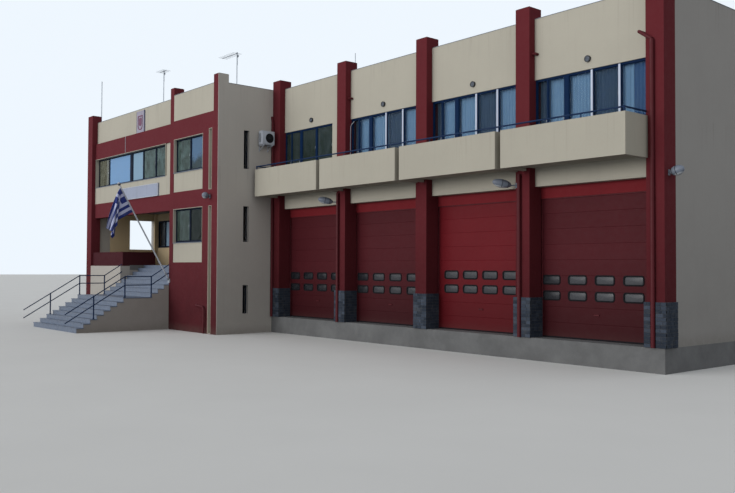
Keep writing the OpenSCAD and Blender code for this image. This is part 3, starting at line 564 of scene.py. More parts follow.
class Palette:
    """Every finish of the building, made once and handed out by name."""

    def __init__(self) -> None:
        """Lists the finishes."""
        rain = srgb(96, 92, 84)
        dark_red = srgb(52, 24, 28)
        soot = srgb(60, 56, 54)
        self.finishes = {
            f.name: f
            for f in (
                Plaster("cream_render", srgb(171, 167, 155), rain, 0.30),
                Plaster("cream_balcony", srgb(168, 164, 152), rain, 0.24, drips=(7.09,)),
                Plaster("cream_garage_side", srgb(156, 154, 151), rain, 0.28, 0.0018, 0.22, 0.7),
                Plaster("cream_office_side", srgb(176, 172, 166), rain, 0.30, 0.0018, 0.26, 0.0),
                Plaster("red_garage", srgb(94, 35, 41), dark_red, 0.4, 0.0018, 0.8, 0.7),
                Plaster("red_office", srgb(96, 38, 45), dark_red, 0.4, 0.0018, 0.85, 0.0),
                # Painted shade: red_loggia is a darker copy of the red paint, for the shade in the loggia.
                Plaster("red_loggia", srgb(66, 28, 34), dark_red, 0.3),
                Plaster("tan_render", srgb(204, 184, 150), srgb(136, 112, 84), 0.2, 0.0014),
                Plaster("stair_side", srgb(162, 157, 152), soot, 0.35, 0.002, 0.35, 0.0),
                Paint("header_paint", srgb(112, 33, 39), dark_red, 0.12, 0.55, 0.05),
                Paint("door_maroon", srgb(76, 27, 33), srgb(56, 30, 34), 0.10, 0.5, 0.07, 0.75, 0.4856),
                Paint("door_crimson", srgb(102, 22, 30), srgb(72, 26, 32), 0.08, 0.45, 0.08, 0.6, 0.4856),
                Paint("blue_paint", srgb(14, 36, 68), srgb(36, 52, 80), 0.10, 0.5, 0.03),
                Paint("navy_paint", srgb(18, 27, 44), srgb(44, 52, 64), 0.12, 0.5, 0.04),
                Paint("rail_paint", srgb(24, 44, 76), srgb(60, 68, 86), 0.14, 0.45, 0.06),
                Paint("white_enamel", srgb(176, 182, 192), srgb(118, 112, 104), 0.22, 0.42),
                Paint("sign_face", srgb(146, 154, 174), srgb(112, 112, 116), 0.30, 0.35, 0.15),
                Paint("pipe_paint", srgb(80, 28, 34), dark_red, 0.2, 0.45, 0.12),
                Paint("lamp_shell", srgb(110, 118, 132), srgb(80, 78, 76), 0.25, 0.42),
                Paint("white_mullion", srgb(184, 194, 214), srgb(130, 130, 132), 0.15, 0.4),
                Paint("crest_board", srgb(148, 144, 160), srgb(120, 114, 116), 0.25, 0.45, 0.1),
                Paint("crest_red", srgb(112, 74, 96), srgb(100, 78, 92), 0.2, 0.5, 0.1),
                Stone("split_stone", srgb(36, 43, 54), srgb(68, 77, 91)),
                Stone("mortar", srgb(62, 66, 72), srgb(78, 80, 84), 0.002),
                Concrete("grey_concrete", srgb(104, 105, 106)),
                RoofFelt("roof_felt", srgb(118, 118, 118)),
                # Painted shade: pale_marble is given darker and bluer than the pale stone, for the shade the
                # stair stands in under a blue sky.
                Marble("pale_marble", srgb(94, 106, 126), srgb(68, 76, 92)),
                Glazing("clear_glass", srgb(44, 70, 104), srgb(30, 38, 48), 0.16),
                # Painted reflections: the tints of sky_glass and skyline_glass stand for reflected sky,
                # those of leaf_glass for reflected trees, and each glass's third colour, where given, for
                # reflected trees.
                Glazing("sky_glass", srgb(120, 164, 210), srgb(136, 170, 196), 0.7),
                Glazing("leaf_glass", srgb(84, 106, 104), srgb(56, 70, 62), 0.7, srgb(34, 46, 32)),
                Glazing("skyline_glass", srgb(84, 116, 150), srgb(80, 106, 130), 0.7, srgb(36, 48, 36), 7.9),
                Glazing("dusky_glass", srgb(116, 118, 104), srgb(92, 94, 84), 0.75, srgb(84, 86, 72)),
                Glazing("shady_glass", srgb(66, 80, 86), srgb(50, 60, 58), 0.65, srgb(38, 50, 44)),
                Glazing("dark_glass", srgb(28, 36, 30), srgb(22, 30, 25), 0.85, srgb(18, 26, 18), 0.0, 0.08),
                Glazing("lamp_glass", srgb(170, 178, 186), srgb(190, 196, 200), 0.8),
                Acrylic("door_acrylic", srgb(24, 26, 32), srgb(78, 80, 84)),
                Metal("zinc_steel", srgb(148, 154, 162)),
                Metal("cap_metal", srgb(128, 136, 146), 0.5, 0.6),
                Metal("dark_steel", srgb(58, 60, 64), 0.45, 0.8),
                Rubber("black_rubber", srgb(24, 24, 28)),
                Timber("dark_wood", srgb(84, 52, 34), srgb(48, 28, 18)),
                # pale_curtain: its light blue is partly the cloth's own colour and partly a painted
                # reflection of the sky in the glass before it.
                Weave("pale_curtain", srgb(124, 163, 196), srgb(108, 147, 182)),
                Weave("blue_curtain", srgb(58, 92, 134), srgb(44, 84, 136)),
                Weave("tan_curtain", srgb(166, 160, 138), srgb(132, 126, 106)),
                Weave("dark_screen", srgb(54, 78, 104), srgb(42, 66, 82), 200.0),
                StripedWeave("flag_cloth", srgb(34, 48, 116), srgb(178, 184, 214)),
            )
        }
        self.made: Dict[str, Material] = {}

    def get(self, name: str) -> Material:
        """Gives a finish's material, built at its first use."""
        if name not in self.made:
            self.made[name] = self.finishes[name].material()
        return self.made[name]


PALETTE = Palette()


def soften(
    bm: bmesh.types.BMesh, geom: Sequence[object], radius: float, segments: int = 2, affect: str = "EDGES"
) -> None:
    """Rounds some edges or corners of a small mesh."""
    bmesh.ops.bevel(
        bm, geom=geom, offset=radius, affect=affect, segments=segments, profile=0.5, material=-1
    )


def settle(
    bm: bmesh.types.BMesh, name: str, material: Material, smooth: bool = False
) -> bpy.types.Object:
    """Ends a mesh and gives the new object in the scene that holds it."""
    mesh = bpy.data.meshes.new(name)
    bm.to_mesh(mesh)
    bm.free()
    mesh.materials.append(material)
    if smooth:
        mesh.shade_smooth()
    obj = bpy.data.objects.new(name, mesh)
    bpy.context.scene.collection.objects.link(obj)
    return obj


class Shape:
    """One new piece in the making, measured in the building's own frame."""

    def __init__(self, seed: int = 1) -> None:
        """Starts an empty mesh."""
        self.bm = bmesh.new()
        self.bm.faces.layers.float.new("tone")
        self.dice = random.Random(seed)

    def add(self, bm: bmesh.types.BMesh, tone: float = 0.5) -> "Shape":
        """Takes over a small mesh, with one tone on all its faces."""
        layer = bm.faces.layers.float.new("tone")
        for f in bm.faces:
            f[layer] = tone
        mesh = bpy.data.meshes.new("part")
        bm.to_mesh(mesh)
        bm.free()
        self.bm.from_mesh(mesh)
        bpy.data.meshes.remove(mesh)
        return self

    def stand(self, bm: bmesh.types.BMesh, middle: Vector, way: Vector, tone: float = 0.5) -> "Shape":
        """Turns a small mesh's Z to a direction, moves it to its place and takes it over."""
        turn = way.to_track_quat("Z", "Y").to_matrix().to_4x4()
        bmesh.ops.transform(bm, matrix=Matrix.Translation(middle) @ turn, verts=bm.verts)
        return self.add(bm, tone)

    def box(
        self, low: Point, high: Point, bevel: float = 0.0, segments: int = 1, tone: float = 0.5
    ) -> "Shape":
        """Adds a block between two corners, its edges rounded.

        Args:
            low: lowest corner.
            high: highest corner.
            bevel: radius of the edges.
            segments: faces across a rounded edge.
            tone: number that the finish may read.

        Returns:
            The shape, so that calls can follow one another.
        """
        bm = bmesh.new()
        bmesh.ops.create_cube(bm, size=1.0)
        size = Vector(high) - Vector(low)
        middle = (at(*high) + at(*low)) / 2
        bmesh.ops.scale(bm, vec=size, verts=bm.verts)
        bmesh.ops.translate(bm, vec=middle, verts=bm.verts)
        if bevel:
            soften(bm, bm.edges[:], min(bevel, min(size) * 0.45), segments)
        return self.add(bm, tone)

    def rod(
        self, a: Point, b: Point, radius: float, sides: int = 12, end: Optional[float] = None,
        bevel: float = 0.0,
    ) -> "Shape":
        """Adds a round bar from a to b, or a cone where `end` gives another radius at b."""
        bm = bmesh.new()
        start, stop = at(*a), at(*b)
        run = stop - start
        bmesh.ops.create_cone(
            bm, cap_ends=True, segments=sides, radius1=radius, radius2=radius if end is None else end,
            depth=run.length,
        )
        if bevel:
            soften(bm, [e for e in bm.edges if any(len(f.verts) > 4 for f in e.link_faces)], bevel)
        return self.stand(bm, (start + stop) / 2, run)

    def tube(self, points: Sequence[Point], radius: float, sides: int = 10) -> "Shape":
        """Adds a bent pipe through some points, closed at both ends."""
        bm = bmesh.new()
        path = [at(*p) for p in points]
        last = len(path) - 1
        loops = []
        for k, p in enumerate(path):
            ahead = path[min(k + 1, last)] - path[max(k - 1, 0)]
            turn = ahead.to_track_quat("Z", "Y").to_matrix().to_4x4()
            made = bmesh.ops.create_circle(
                bm, cap_ends=k in (0, last), segments=sides, radius=radius,
                matrix=Matrix.Translation(p) @ turn,
            )
            loops.append(list({e for v in made["verts"] for e in v.link_edges}))
        for a, b in zip(loops, loops[1:]):
            bmesh.ops.bridge_loops(bm, edges=a + b)
        bmesh.ops.recalc_face_normals(bm, faces=bm.faces)
        return self.add(bm)

    def plate(
        self, centre: Point, size: Tuple[float, float], radius: float, thick: float, band: float = 0.0,
        facing: Point = (0, -1, 0), bevel: float = 0.0, tone: float = 0.5, lower_only: bool = False,
    ) -> "Shape":
        """Adds a plate with rounded corners, or a flat frame of that outline.

        Args:
            centre: middle of its back.
            size: width and height.
            radius: radius of its corners.
            thick: how far it stands out from its back.
            band: width of the frame, 0 for a full plate.
            facing: direction that its face looks in.
            bevel: radius of the front's edges.
            tone: number that the finish may read.
            lower_only: whether only the two lower corners are rounded.

        Returns:
            The shape.
        """
        bm = bmesh.new()
        bmesh.ops.create_grid(bm, x_segments=1, y_segments=1, size=0.5)
        bmesh.ops.scale(bm, vec=(size[0], size[1], 1), verts=bm.verts)
        corners = [v for v in bm.verts if v.co.y < 0 or not lower_only]
        soften(bm, corners, radius, 8 if lower_only else 4, "VERTICES")
        if band:
            rim = bmesh.ops.inset_region(
                bm, faces=bm.faces[:], thickness=band, use_boundary=True, use_even_offset=True,
            )["faces"]
            inner = [f for f in bm.faces if f not in rim]
            bmesh.ops.delete(bm, geom=inner, context="FACES")
        grown = bmesh.ops.extrude_face_region(bm, geom=bm.faces[:])["geom"]
        front = [v for v in grown if isinstance(v, bmesh.types.BMVert)]
        bmesh.ops.translate(bm, vec=(0, 0, thick), verts=front)
        bmesh.ops.recalc_face_normals(bm, faces=bm.faces)
        if bevel:
            sharp = [e for e in bm.edges if e.calc_face_angle(0) > 1.0]
            soften(bm, [e for e in sharp if all(v.co.z > thick / 2 for v in e.verts)], bevel)
        return self.stand(bm, at(*centre), Vector(facing), tone)

    def ring(
        self, centre: Point, axis: Point, radius: float, thick: float, wide: float, steps: int = 20
    ) -> "Shape":
        """Adds a flat ring round an axis by spinning its section.

        Args:
            centre: middle of the ring.
            axis: direction of its axis.
            radius: distance from the axis to the section's middle.
            thick: section across the radius.
            wide: section along the axis.
            steps: faces round the ring.

        Returns:
            The shape.
        """
        bm = bmesh.new()
        bmesh.ops.create_grid(bm, x_segments=1, y_segments=1, size=0.5)
        bmesh.ops.scale(bm, vec=(thick, wide, 1), verts=bm.verts)
        bmesh.ops.rotate(bm, matrix=Matrix.Rotation(math.pi / 2, 3, "X"), verts=bm.verts)
        bmesh.ops.translate(bm, vec=(radius, 0, 0), verts=bm.verts)
        bmesh.ops.spin(
            bm, geom=bm.faces[:], cent=(0, 0, 0), axis=(0, 0, 1), angle=2 * math.pi, steps=steps,
            use_merge=True, use_duplicate=False,
        )
        bmesh.ops.remove_doubles(bm, verts=bm.verts, dist=1e-5)
        section = [f for f in bm.faces if all(abs(v.co.y) < 1e-5 and v.co.x > 0 for v in f.verts)]
        bmesh.ops.delete(bm, geom=section, context="FACES_ONLY")
        bmesh.ops.recalc_face_normals(bm, faces=bm.faces)
        return self.stand(bm, at(*centre), Vector(axis))

    def knob(self, centre: Point, size: Point, turn: Matrix = Matrix.Identity(4)) -> "Shape":
        """Adds a rounded body of three radii, such as a lamp's glass or a pole's finial."""
        bm = bmesh.new()
        bmesh.ops.create_uvsphere(bm, u_segments=20, v_segments=12, radius=1.0)
        bmesh.ops.scale(bm, vec=size, verts=bm.verts)
        bmesh.ops.transform(bm, matrix=Matrix.Translation(at(*centre)) @ turn, verts=bm.verts)
        return self.add(bm)

    def piece(
        self, name: str, finish: str, slot: str, smooth: bool = False, replaces: Sequence[str] = (),
    ) -> bpy.types.Object:
        """Ends the mesh and hands the object over to the frame.

        Args:
            name: name of the piece.
            finish: name of its material in the palette.
            slot: name of a material slot of the record; not used.
            smooth: whether its faces are shaded smooth.
            replaces: CAD nodes that it stands for.

        Returns:
            The new object, riding on the root body.
        """
        self.bm.normal_update()
        obj = settle(self.bm, name, PALETTE.get(finish), smooth)
        if smooth:
            obj.data.set_sharp_from_angle(angle=math.radians(38))
        return adopt(obj, replaces)


def adopt(obj: bpy.types.Object, replaces: Sequence[str] = ()) -> bpy.types.Object:
    """Puts an object on the frame's only body.

    Args:
        obj: the finished piece.
        replaces: CAD nodes that it stands for.

    Returns:
        The same object.
    """
    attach(obj, "root")
    if replaces:
        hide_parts(*replaces)
    LOG.info("piece %s: %d faces", obj.name, len(obj.data.polygons))
    return obj


@dataclass
class NodeFinishes:
    """The finish of every CAD node, as lists of nodes under each finish."""

    lists: Dict[str, str] = field(
        default_factory=lambda: {
            "grey_concrete": (
                "garage_plinth upper_floor office_plinth office_first_floor office_upper_floor"
            ),
            "header_paint": "door_headers",
            "cream_render": "front_beams garage_parapet sill_walls office_parapet office_cream_panels",
            "door_maroon": "vehicle_door_1 vehicle_door_2 vehicle_door_4",
            "door_crimson": "vehicle_door_3",
            "door_acrylic": "door_lights",
            "roof_felt": "garage_roof office_roof",
            "blue_paint": "upper_window_frames",
            "clear_glass": "upper_window_glass office_window_glass back_window_glass",
            "cream_garage_side": "garage_right_wall garage_back_wall",
            "cream_balcony": "balcony_slab balcony_wall",
            "rail_paint": "balcony_rail stair_railings",
            "pipe_paint": "downpipes",
            "dark_steel": "wall_vents",
            "lamp_shell": "floodlights",
            "red_office": "office_pilasters office_red_walls",
            "cream_office_side": (
                "office_left_wall office_right_wall office_back_wall office_ground_wall"
            ),
            "red_loggia": "loggia_wall",
            "tan_render": "loggia_back_wall loggia_side_wall loggia_post",
            "navy_paint": "office_window_frames back_window_frames",
            "dark_wood": "entrance_door",
            "stair_side": "lower_flight upper_flight",
            "pale_marble": "stair_treads",
            "sign_face": "sign_board",
            "crest_board": "crest_panel",
            "white_enamel": "air_conditioner flagpole",
            "zinc_steel": "roof_masts",
            "flag_cloth": "flag",
            "split_stone": "stone_bases",
            "red_garage": "column_1 column_2 column_3 column_4 column_5",
        }
    )

    def dress(self) -> None:
        """Gives each node its material."""
        table = {node: finish for finish, nodes in self.lists.items() for node in nodes.split()}
        for name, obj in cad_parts.items():
            obj.data.materials.clear()
            obj.data.materials.append(PALETTE.get(table[name]))
        LOG.info("dressed %d nodes", len(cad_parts))


@dataclass
class StoneFeet:
    """Low courses of split stone round the street side of each garage column's foot."""

    height: float = 1.25
    thick: float = 0.06
    courses: int = 12
    joint: float = 0.010
    mean_length: float = 0.20
    pipe_offs: Tuple[Optional[float], ...] = (0.08, 0.15, None, 0.18, 0.22)
    slot_half: float = 0.08

    def runs(self, i: int) -> List[Tuple[str, float, float]]:
        """Gives the straight runs of one column's foot: front pieces, then the sides."""
        x0, x1 = LV.bay_x(i), LV.bay_x(i) + LV.column_w
        left = x0 if i == 0 else x0 - self.thick
        right = x1 + self.thick
        off = self.pipe_offs[i]
        if off is None:
            fronts = [("front", left, right)]
        else:
            pipe = x0 + off
            fronts = [("front", left, pipe - self.slot_half), ("front", pipe + self.slot_half, right)]
        sides = [("right", 0.0, LV.column_d - 0.001)]
        if i > 0:
            sides.append(("left", 0.0, LV.column_d - 0.001))
        return [r for r in fronts if r[2] - r[1] > 0.03] + sides

    def block(
        self, s: Shape, i: int, kind: str, run: Span, rise: Span, depth: Span, bevel: float = 0.0,
        tone: float = 0.5,
    ) -> None:
        """Adds a block on one face of a column.

        Args:
            s: shape that takes it.
            i: number of the column.
            kind: the column's face: front, right or left.
            run: its two ends along that face.
            rise: its foot and top.
            depth: how far its back and its front stand before the face.
            bevel: radius of its edges.
            tone: number that the finish may read.
        """
        x0 = LV.bay_x(i)
        x1 = x0 + LV.column_w
        (a, b), (z0, z1), (near, far) = run, rise, depth
        low, high = {
            "front": ((a, -far, z0), (b, -near, z1)),
            "right": ((x1 + near, a, z0), (x1 + far, b, z1)),
            "left": ((x0 - far, a, z0), (x0 - near, b, z1)),
        }[kind]
        s.box(low, high, bevel, tone=tone)

    def build(self) -> None:
        """Makes the stones and the mortar bed behind them."""
        stones, bed = Shape(11), Shape(12)
        rise, depth = (0.0, self.height - 0.004), (0.001, self.thick - 0.014)
        for i in range(LV.bays + 1):
            for kind, a, b in self.runs(i):
                self.block(bed, i, kind, (a, b), rise, depth)
                self.lay(stones, i, kind, a, b)
        bed.piece("stone_feet_bed", "mortar", "stone_cladding")
        stones.piece("stone_feet", "split_stone", "stone_cladding", replaces=["stone_bases"])

    def lay(self, s: Shape, i: int, kind: str, a: float, b: float) -> None:
        """Lays the courses of one run; the stones on the columns' sides get lower tones as painted shade."""
        course = self.height / self.courses
        half = self.joint / 2
        for row in range(self.courses):
            rise = (row * course + half, (row + 1) * course - half)
            u = a
            while u < b - 0.01:
                length = self.mean_length * s.dice.uniform(0.5, 1.4)
                v = b if b - u - length < 0.08 else u + length
                run = (u + (half if u > a else 0), v - (half if v < b else 0))
                depth = (0.01, self.thick - s.dice.uniform(0.0, 0.008))
                # Painted shade: the side stones' tones are cut to 0.4, darker than the fronts.
                tone = s.dice.random() ** 1.6 * (1.0 if kind == "front" else 0.4)
                self.block(s, i, kind, run, rise, depth, 0.006, tone)
                u = v


@dataclass
class DoorDetails:
    """The vehicle doors' small windows with their gaskets, the seals, guides and handles."""

    light_w: float = 0.64
    light_h: float = 0.26
    light_r: float = 0.07
    rise: float = 0.49
    face: float = 0.63
    pitches: Tuple[float, ...] = (0.965, 0.965, 0.893, 0.965)
    firsts: Tuple[float, ...] = (0.37, 0.37, 0.64, 0.37)
    levels: Tuple[float, ...] = (1.315, 1.315, 1.435, 1.315)
    # The low first tone of the fourth door is painted shadow of the column beside it.
    tones: Tuple[Tuple[float, ...], ...] = (
        (0.0, 0.05, 0.1, 0.15), (0.1, 0.55, 0.6, 0.55),
        (0.75, 0.7, 0.65, 0.75), (0.25, 0.8, 0.85, 0.95),
    )

    def build(self) -> None:
        """Makes the details of all four doors."""
        gaskets, panes, strips, steel = Shape(21), Shape(24), Shape(22), Shape(23)
        y, top = self.face, LV.door
        for i in range(LV.bays):
            x0 = LV.bay_in(i)
            x1 = x0 + LV.clear
            for k, row in product(range(4), range(2)):
                x, z = x0 + self.firsts[i] + self.pitches[i] * k, self.levels[i] + row * self.rise
                gaskets.plate(
                    (x, y + 0.004, z), (self.light_w + 0.05, self.light_h + 0.05),
                    self.light_r + 0.025, 0.022, 0.045, bevel=0.007,
                )
                panes.plate(
                    (x, y + 0.034, z), (self.light_w - 0.004, self.light_h - 0.004),
                    self.light_r - 0.002, 0.022, bevel=0.008, tone=self.tones[i][k],
                )
            strips.box((x0 + 0.01, y - 0.012, 0.004), (x1 - 0.01, y + 0.012, 0.05), 0.008, 2)
            steel.box((x0, y - 0.03, top - 0.035), (x1, y + 0.004, top), 0.008, 2)
            for x in (x0, x1 - 0.05):
                steel.box((x, y - 0.028, 0.0), (x + 0.05, y - 0.002, top - 0.03), 0.005)
            steel.box((x0 + 1.93, y - 0.03, 0.74), (x0 + 2.12, y - 0.012, 0.78), 0.007, 2)
            for x in (x0 + 1.95, x0 + 2.09):
                steel.box((x - 0.015, y - 0.02, 0.73), (x + 0.015, y + 0.002, 0.79), 0.004)
        gaskets.piece("door_gaskets", "black_rubber", "glass", smooth=True)
        panes.piece("door_panes", "door_acrylic", "glass", smooth=True, replaces=["door_lights"])
        strips.piece("door_seals", "black_rubber", "door_red")
        steel.piece("door_guides", "pipe_paint", "door_red")


@dataclass
class Panes:
    """Sheets of glass in slim sashes, each with the tone that the room or sky gives it."""

    sash: float = 0.028
    slim: float = 0.012
    thick: float = 0.008
    garage_y: float = 0.355
    back_y: float = 11.885
    slit_x: float = 13.875
    garage_head: float = 8.04
    first_bay: Tuple[Tuple[float, float, float, float], ...] = (
        (0.61, 0.976, 5.51, 1.0), (1.036, 1.63, 5.51, 0.7),
        (1.80, 2.7456, 6.49, 0.8), (2.8656, 3.90, 6.49, 0.6),
    )
    other_bays: Tuple[Tuple[float, float, float, float], ...] = (
        (0.61, 0.976, 5.51, 1.0), (1.036, 1.63, 5.51, 0.0),
        (1.80, 2.596, 6.49, 0.0), (2.686, 3.534, 6.49, 0.5), (3.624, 4.54, 6.49, 0.0),
    )
    office: Tuple[Tuple[float, float, float, float, float, str, float], ...] = (
        (0.66, 1.93, 6.52, 7.94, -2.345, "dusky_glass", 0.1),
        (2.02, 4.575, 6.52, 7.94, -2.345, "sky_glass", 0.0),
        (4.875, 6.055, 6.52, 7.94, -2.345, "sky_glass", 1.0),
        (6.145, 7.43, 6.52, 7.94, -2.345, "leaf_glass", 0.1),
        (7.52, 8.79, 6.52, 7.94, -2.345, "leaf_glass", 0.0),
        (10.13, 11.365, 6.52, 7.94, -2.595, "leaf_glass", 0.2),
        (11.455, 12.69, 6.52, 7.94, -2.595, "skyline_glass", 0.0),
        (10.13, 11.365, 3.32, 4.74, -2.595, "leaf_glass", 0.7),
        (11.455, 12.69, 3.32, 4.74, -2.595, "dark_glass", 0.5),
        (0.56, 1.291, 3.32, 4.74, 1.295, "clear_glass", 0.9),
        (1.381, 2.64, 3.32, 4.74, 1.295, "sky_glass", 1.0),
    )

    def window(
        self, shapes: Tuple[Shape, Shape, Shape], hole: Tuple[float, float, float, float], y: float,
        tone: float, w: float, out: float = -1.0,
    ) -> None:
        """Adds a pane, the four bars of its sash and a lever handle.

        Args:
            shapes: the shapes that take the glass, the sash and the handle.
            hole: its two ends, its foot and its top.
            y: middle plane of the pane and the sash.
            tone: number that the glass reads.
            w: width of the sash's bars.
            out: side that the handle is on, -1 on a street front and 1 on the back.
        """
        glass, sash, steel = shapes
        x0, x1, z0, z1 = hole
        t = self.thick / 2
        glass.box((x0 + 0.01, y - t, z0 + 0.01), (x1 - 0.01, y + t, z1 - 0.01), 0.001, tone=tone)
        for a, b, low, high in (
            (x0, x0 + w, z0, z1), (x1 - w, x1, z0, z1),
            (x0 + w, x1 - w, z0, z0 + w * 1.3), (x0 + w, x1 - w, z1 - w, z1),
        ):
            sash.box((a, y - 0.022, low), (b, y + 0.022, high), 0.004)
        x, z, face = x1 - max(0.010, w / 2), (z0 + z1) / 2, y + 0.026 * out
        steel.box((x - 0.010, face - 0.004, z - 0.045), (x + 0.010, face + 0.004, z + 0.045), 0.003)
        steel.rod((x, face, z), (x, face + 0.022 * out, z), 0.006, 8)
        steel.rod((x, face + 0.02 * out, z + 0.008), (x, face + 0.02 * out, z - 0.085), 0.006, 8)

    def slits(self, glass: Shape, sash: Shape) -> None:
        """Adds the panes and sashes of the three slit windows in the side wall."""
        x, t = self.slit_x, self.thick / 2
        for z0, z1 in ((0.16, 1.39), (3.26, 4.80), (6.43, 8.10)):
            glass.box((x - t, -1.49, z0 + 0.01), (x + t, -1.23, z1 - 0.01), 0.001, tone=1.0)
            for y0, y1, a, b in (
                (-1.50, -1.47, z0, z1), (-1.25, -1.22, z0, z1),
                (-1.47, -1.25, z0, z0 + 0.03), (-1.47, -1.25, z1 - 0.03, z1),
            ):
                sash.box((x - 0.02, y0, a), (x + 0.02, y1, b), 0.004)

    def back(self) -> List[Tuple[float, float, float, float]]:
        """Lists the panes of the back windows: ends, foot and top."""
        bays, office = LV.rear_middles()
        holes = [(c, LV.sill, LV.head) for c in bays]
        holes += [(c, z0, z1) for c in office for z0, z1 in ((6.46, 8.00), (3.26, 4.80))]
        halves = ((-1.24, -0.045), (0.045, 1.24))
        return [(c + a, c + b, z0 + 0.06, z1 - 0.06) for c, z0, z1 in holes for a, b in halves]

    def build(self) -> None:
        """Makes every pane and sash."""
        clear, shady, blue, navy, steel = Shape(25), Shape(24), Shape(26), Shape(27), Shape(28)
        for i in range(LV.bays):
            b, glass = LV.bay_x(i), clear if i else shady
            for x0, x1, z0, tone in self.other_bays if i else self.first_bay:
                hole = (b + x0, b + x1, z0, self.garage_head)
                self.window((glass, blue, steel), hole, self.garage_y, tone, self.slim)
        clear.piece("upper_panes", "clear_glass", "glass", replaces=["upper_window_glass"])
        shady.piece("upper_panes_shady", "shady_glass", "glass")
        blue.piece("upper_sashes", "blue_paint", "blue_frames")
        sheets: Dict[str, Shape] = {}
        for *hole, y, finish, tone in self.office:
            sheet = sheets.setdefault(finish, Shape(29))
            self.window((sheet, navy, steel), tuple(hole), y, tone, self.sash)
        self.slits(sheets["clear_glass"], navy)
        for finish, sheet in sheets.items():
            sheet.piece(
                "office_panes_" + finish.split("_")[0], finish, "glass",
                replaces=["office_window_glass"] if finish == "clear_glass" else (),
            )
        rear = Shape(30)
        for hole in self.back():
            tone = rear.dice.random()
            self.window((rear, navy, steel), hole, self.back_y, tone, self.sash, 1.0)
        rear.piece("back_panes", "clear_glass", "glass", replaces=["back_window_glass"])
        navy.piece("navy_sashes", "navy_paint", "blue_frames")
        steel.piece("window_handles", "zinc_steel", "mast_steel", smooth=True)


@dataclass
class Curtains:
    """Curtains, pale or dark, that hang in folds behind the street windows."""

    pitch: float = 0.115
    deep: float = 0.016
    drawn: List[Tuple[float, float, float, float, float, str]] = field(default_factory=list)

    def __post_init__(self) -> None:
        """Lists the curtains: ends, bottom, top, plane and finish."""
        low, door, top = LV.sill - 0.05, LV.upper_floor + 0.10, LV.head - 0.02
        for i in range(1, LV.bays):
            last = [(3.60, 4.57, low, 0.47, "pale_curtain")]
            if i == LV.bays - 1:
                last = [(3.60, 3.96, low, 0.47, "pale_curtain"), (3.97, 4.57, low, 0.47, "blue_curtain")]
            for x0, x1, hem, y, finish in [
                (1.03, 1.64, door, 0.47, "pale_curtain"), (0.62, 0.98, door, 0.49, "dark_screen"),
                (1.78, 2.62, low, 0.47, "pale_curtain"), (2.66, 3.56, low, 0.47, "dark_screen"),
            ] + last:
                self.drawn.append((LV.bay_x(i) + x0, LV.bay_x(i) + x1, hem, top, y, finish))
        b = LV.bay_x(0)
        self.drawn.append((b + 2.84, b + 3.94, low, top, 0.47, "dark_screen"))
        self.drawn.append((0.70, 2.00, 6.42, 7.98, -2.20, "tan_curtain"))

    def hang(self, k: int, x0: float, x1: float, z0: float, z1: float, y: float, finish: str) -> None:
        """Makes one curtain of one sheet, gathered on its rail.

        Args:
            k: its number, which also seeds its folds.
            x0: left end.
            x1: right end.
            z0: hem.
            z1: rail.
            y: middle plane.
            finish: name of its material.
        """
        cols = max(24, round((x1 - x0) / self.pitch * 12))
        bm = bmesh.new()
        uv = bm.loops.layers.uv.new("UVMap")
        bmesh.ops.create_grid(bm, x_segments=cols, y_segments=7, size=0.5)
        phase = random.Random(100 + k).uniform(0, 6)
        for v in bm.verts:
            s, t = v.co.x + 0.5, v.co.y + 0.5
            wob = noise.noise(Vector((s * 5 + k, t * 1.4, k * 3.1)))
            fold = math.sin(2 * math.pi * s * (x1 - x0) / self.pitch + phase + 1.3 * wob)
            depth = self.deep * (0.75 + 0.25 * (1 - t)) * (1 + 0.35 * wob)
            v.co = at(x0 + s * (x1 - x0), y + depth * fold, z0 + t * (z1 - z0))
        flat = sum(f.calc_area() for f in bm.faces) / (z1 - z0)
        corner = at(x0, y, z0)
        for f in bm.faces:
            for loop in f.loops:
                p = loop.vert.co - corner
                loop[uv].uv = (p.x / (x1 - x0) * flat, p.z)
        bmesh.ops.recalc_face_normals(bm, faces=bm.faces)
        obj = settle(bm, "curtain_%02d" % k, PALETTE.get(finish), smooth=True)
        obj.modifiers.new("thickness", "SOLIDIFY").thickness = 0.0015
        adopt(obj)

    def build(self) -> None:
        """Makes the rails and every curtain on them."""
        rails = Shape(31)
        for i in range(LV.bays):
            b = LV.bay_x(i)
            rails.box((b + 0.6, 0.45, LV.head - 0.03), (b + 4.58, 0.49, LV.head), 0.006)
        rails.box((0.75, -2.22, 7.98), (8.8, -2.18, 8.01), 0.006)
        rails.piece("curtain_rails", "white_enamel", "white_metal")
        for k, c in enumerate(self.drawn):
            self.hang(k + 1, *c)


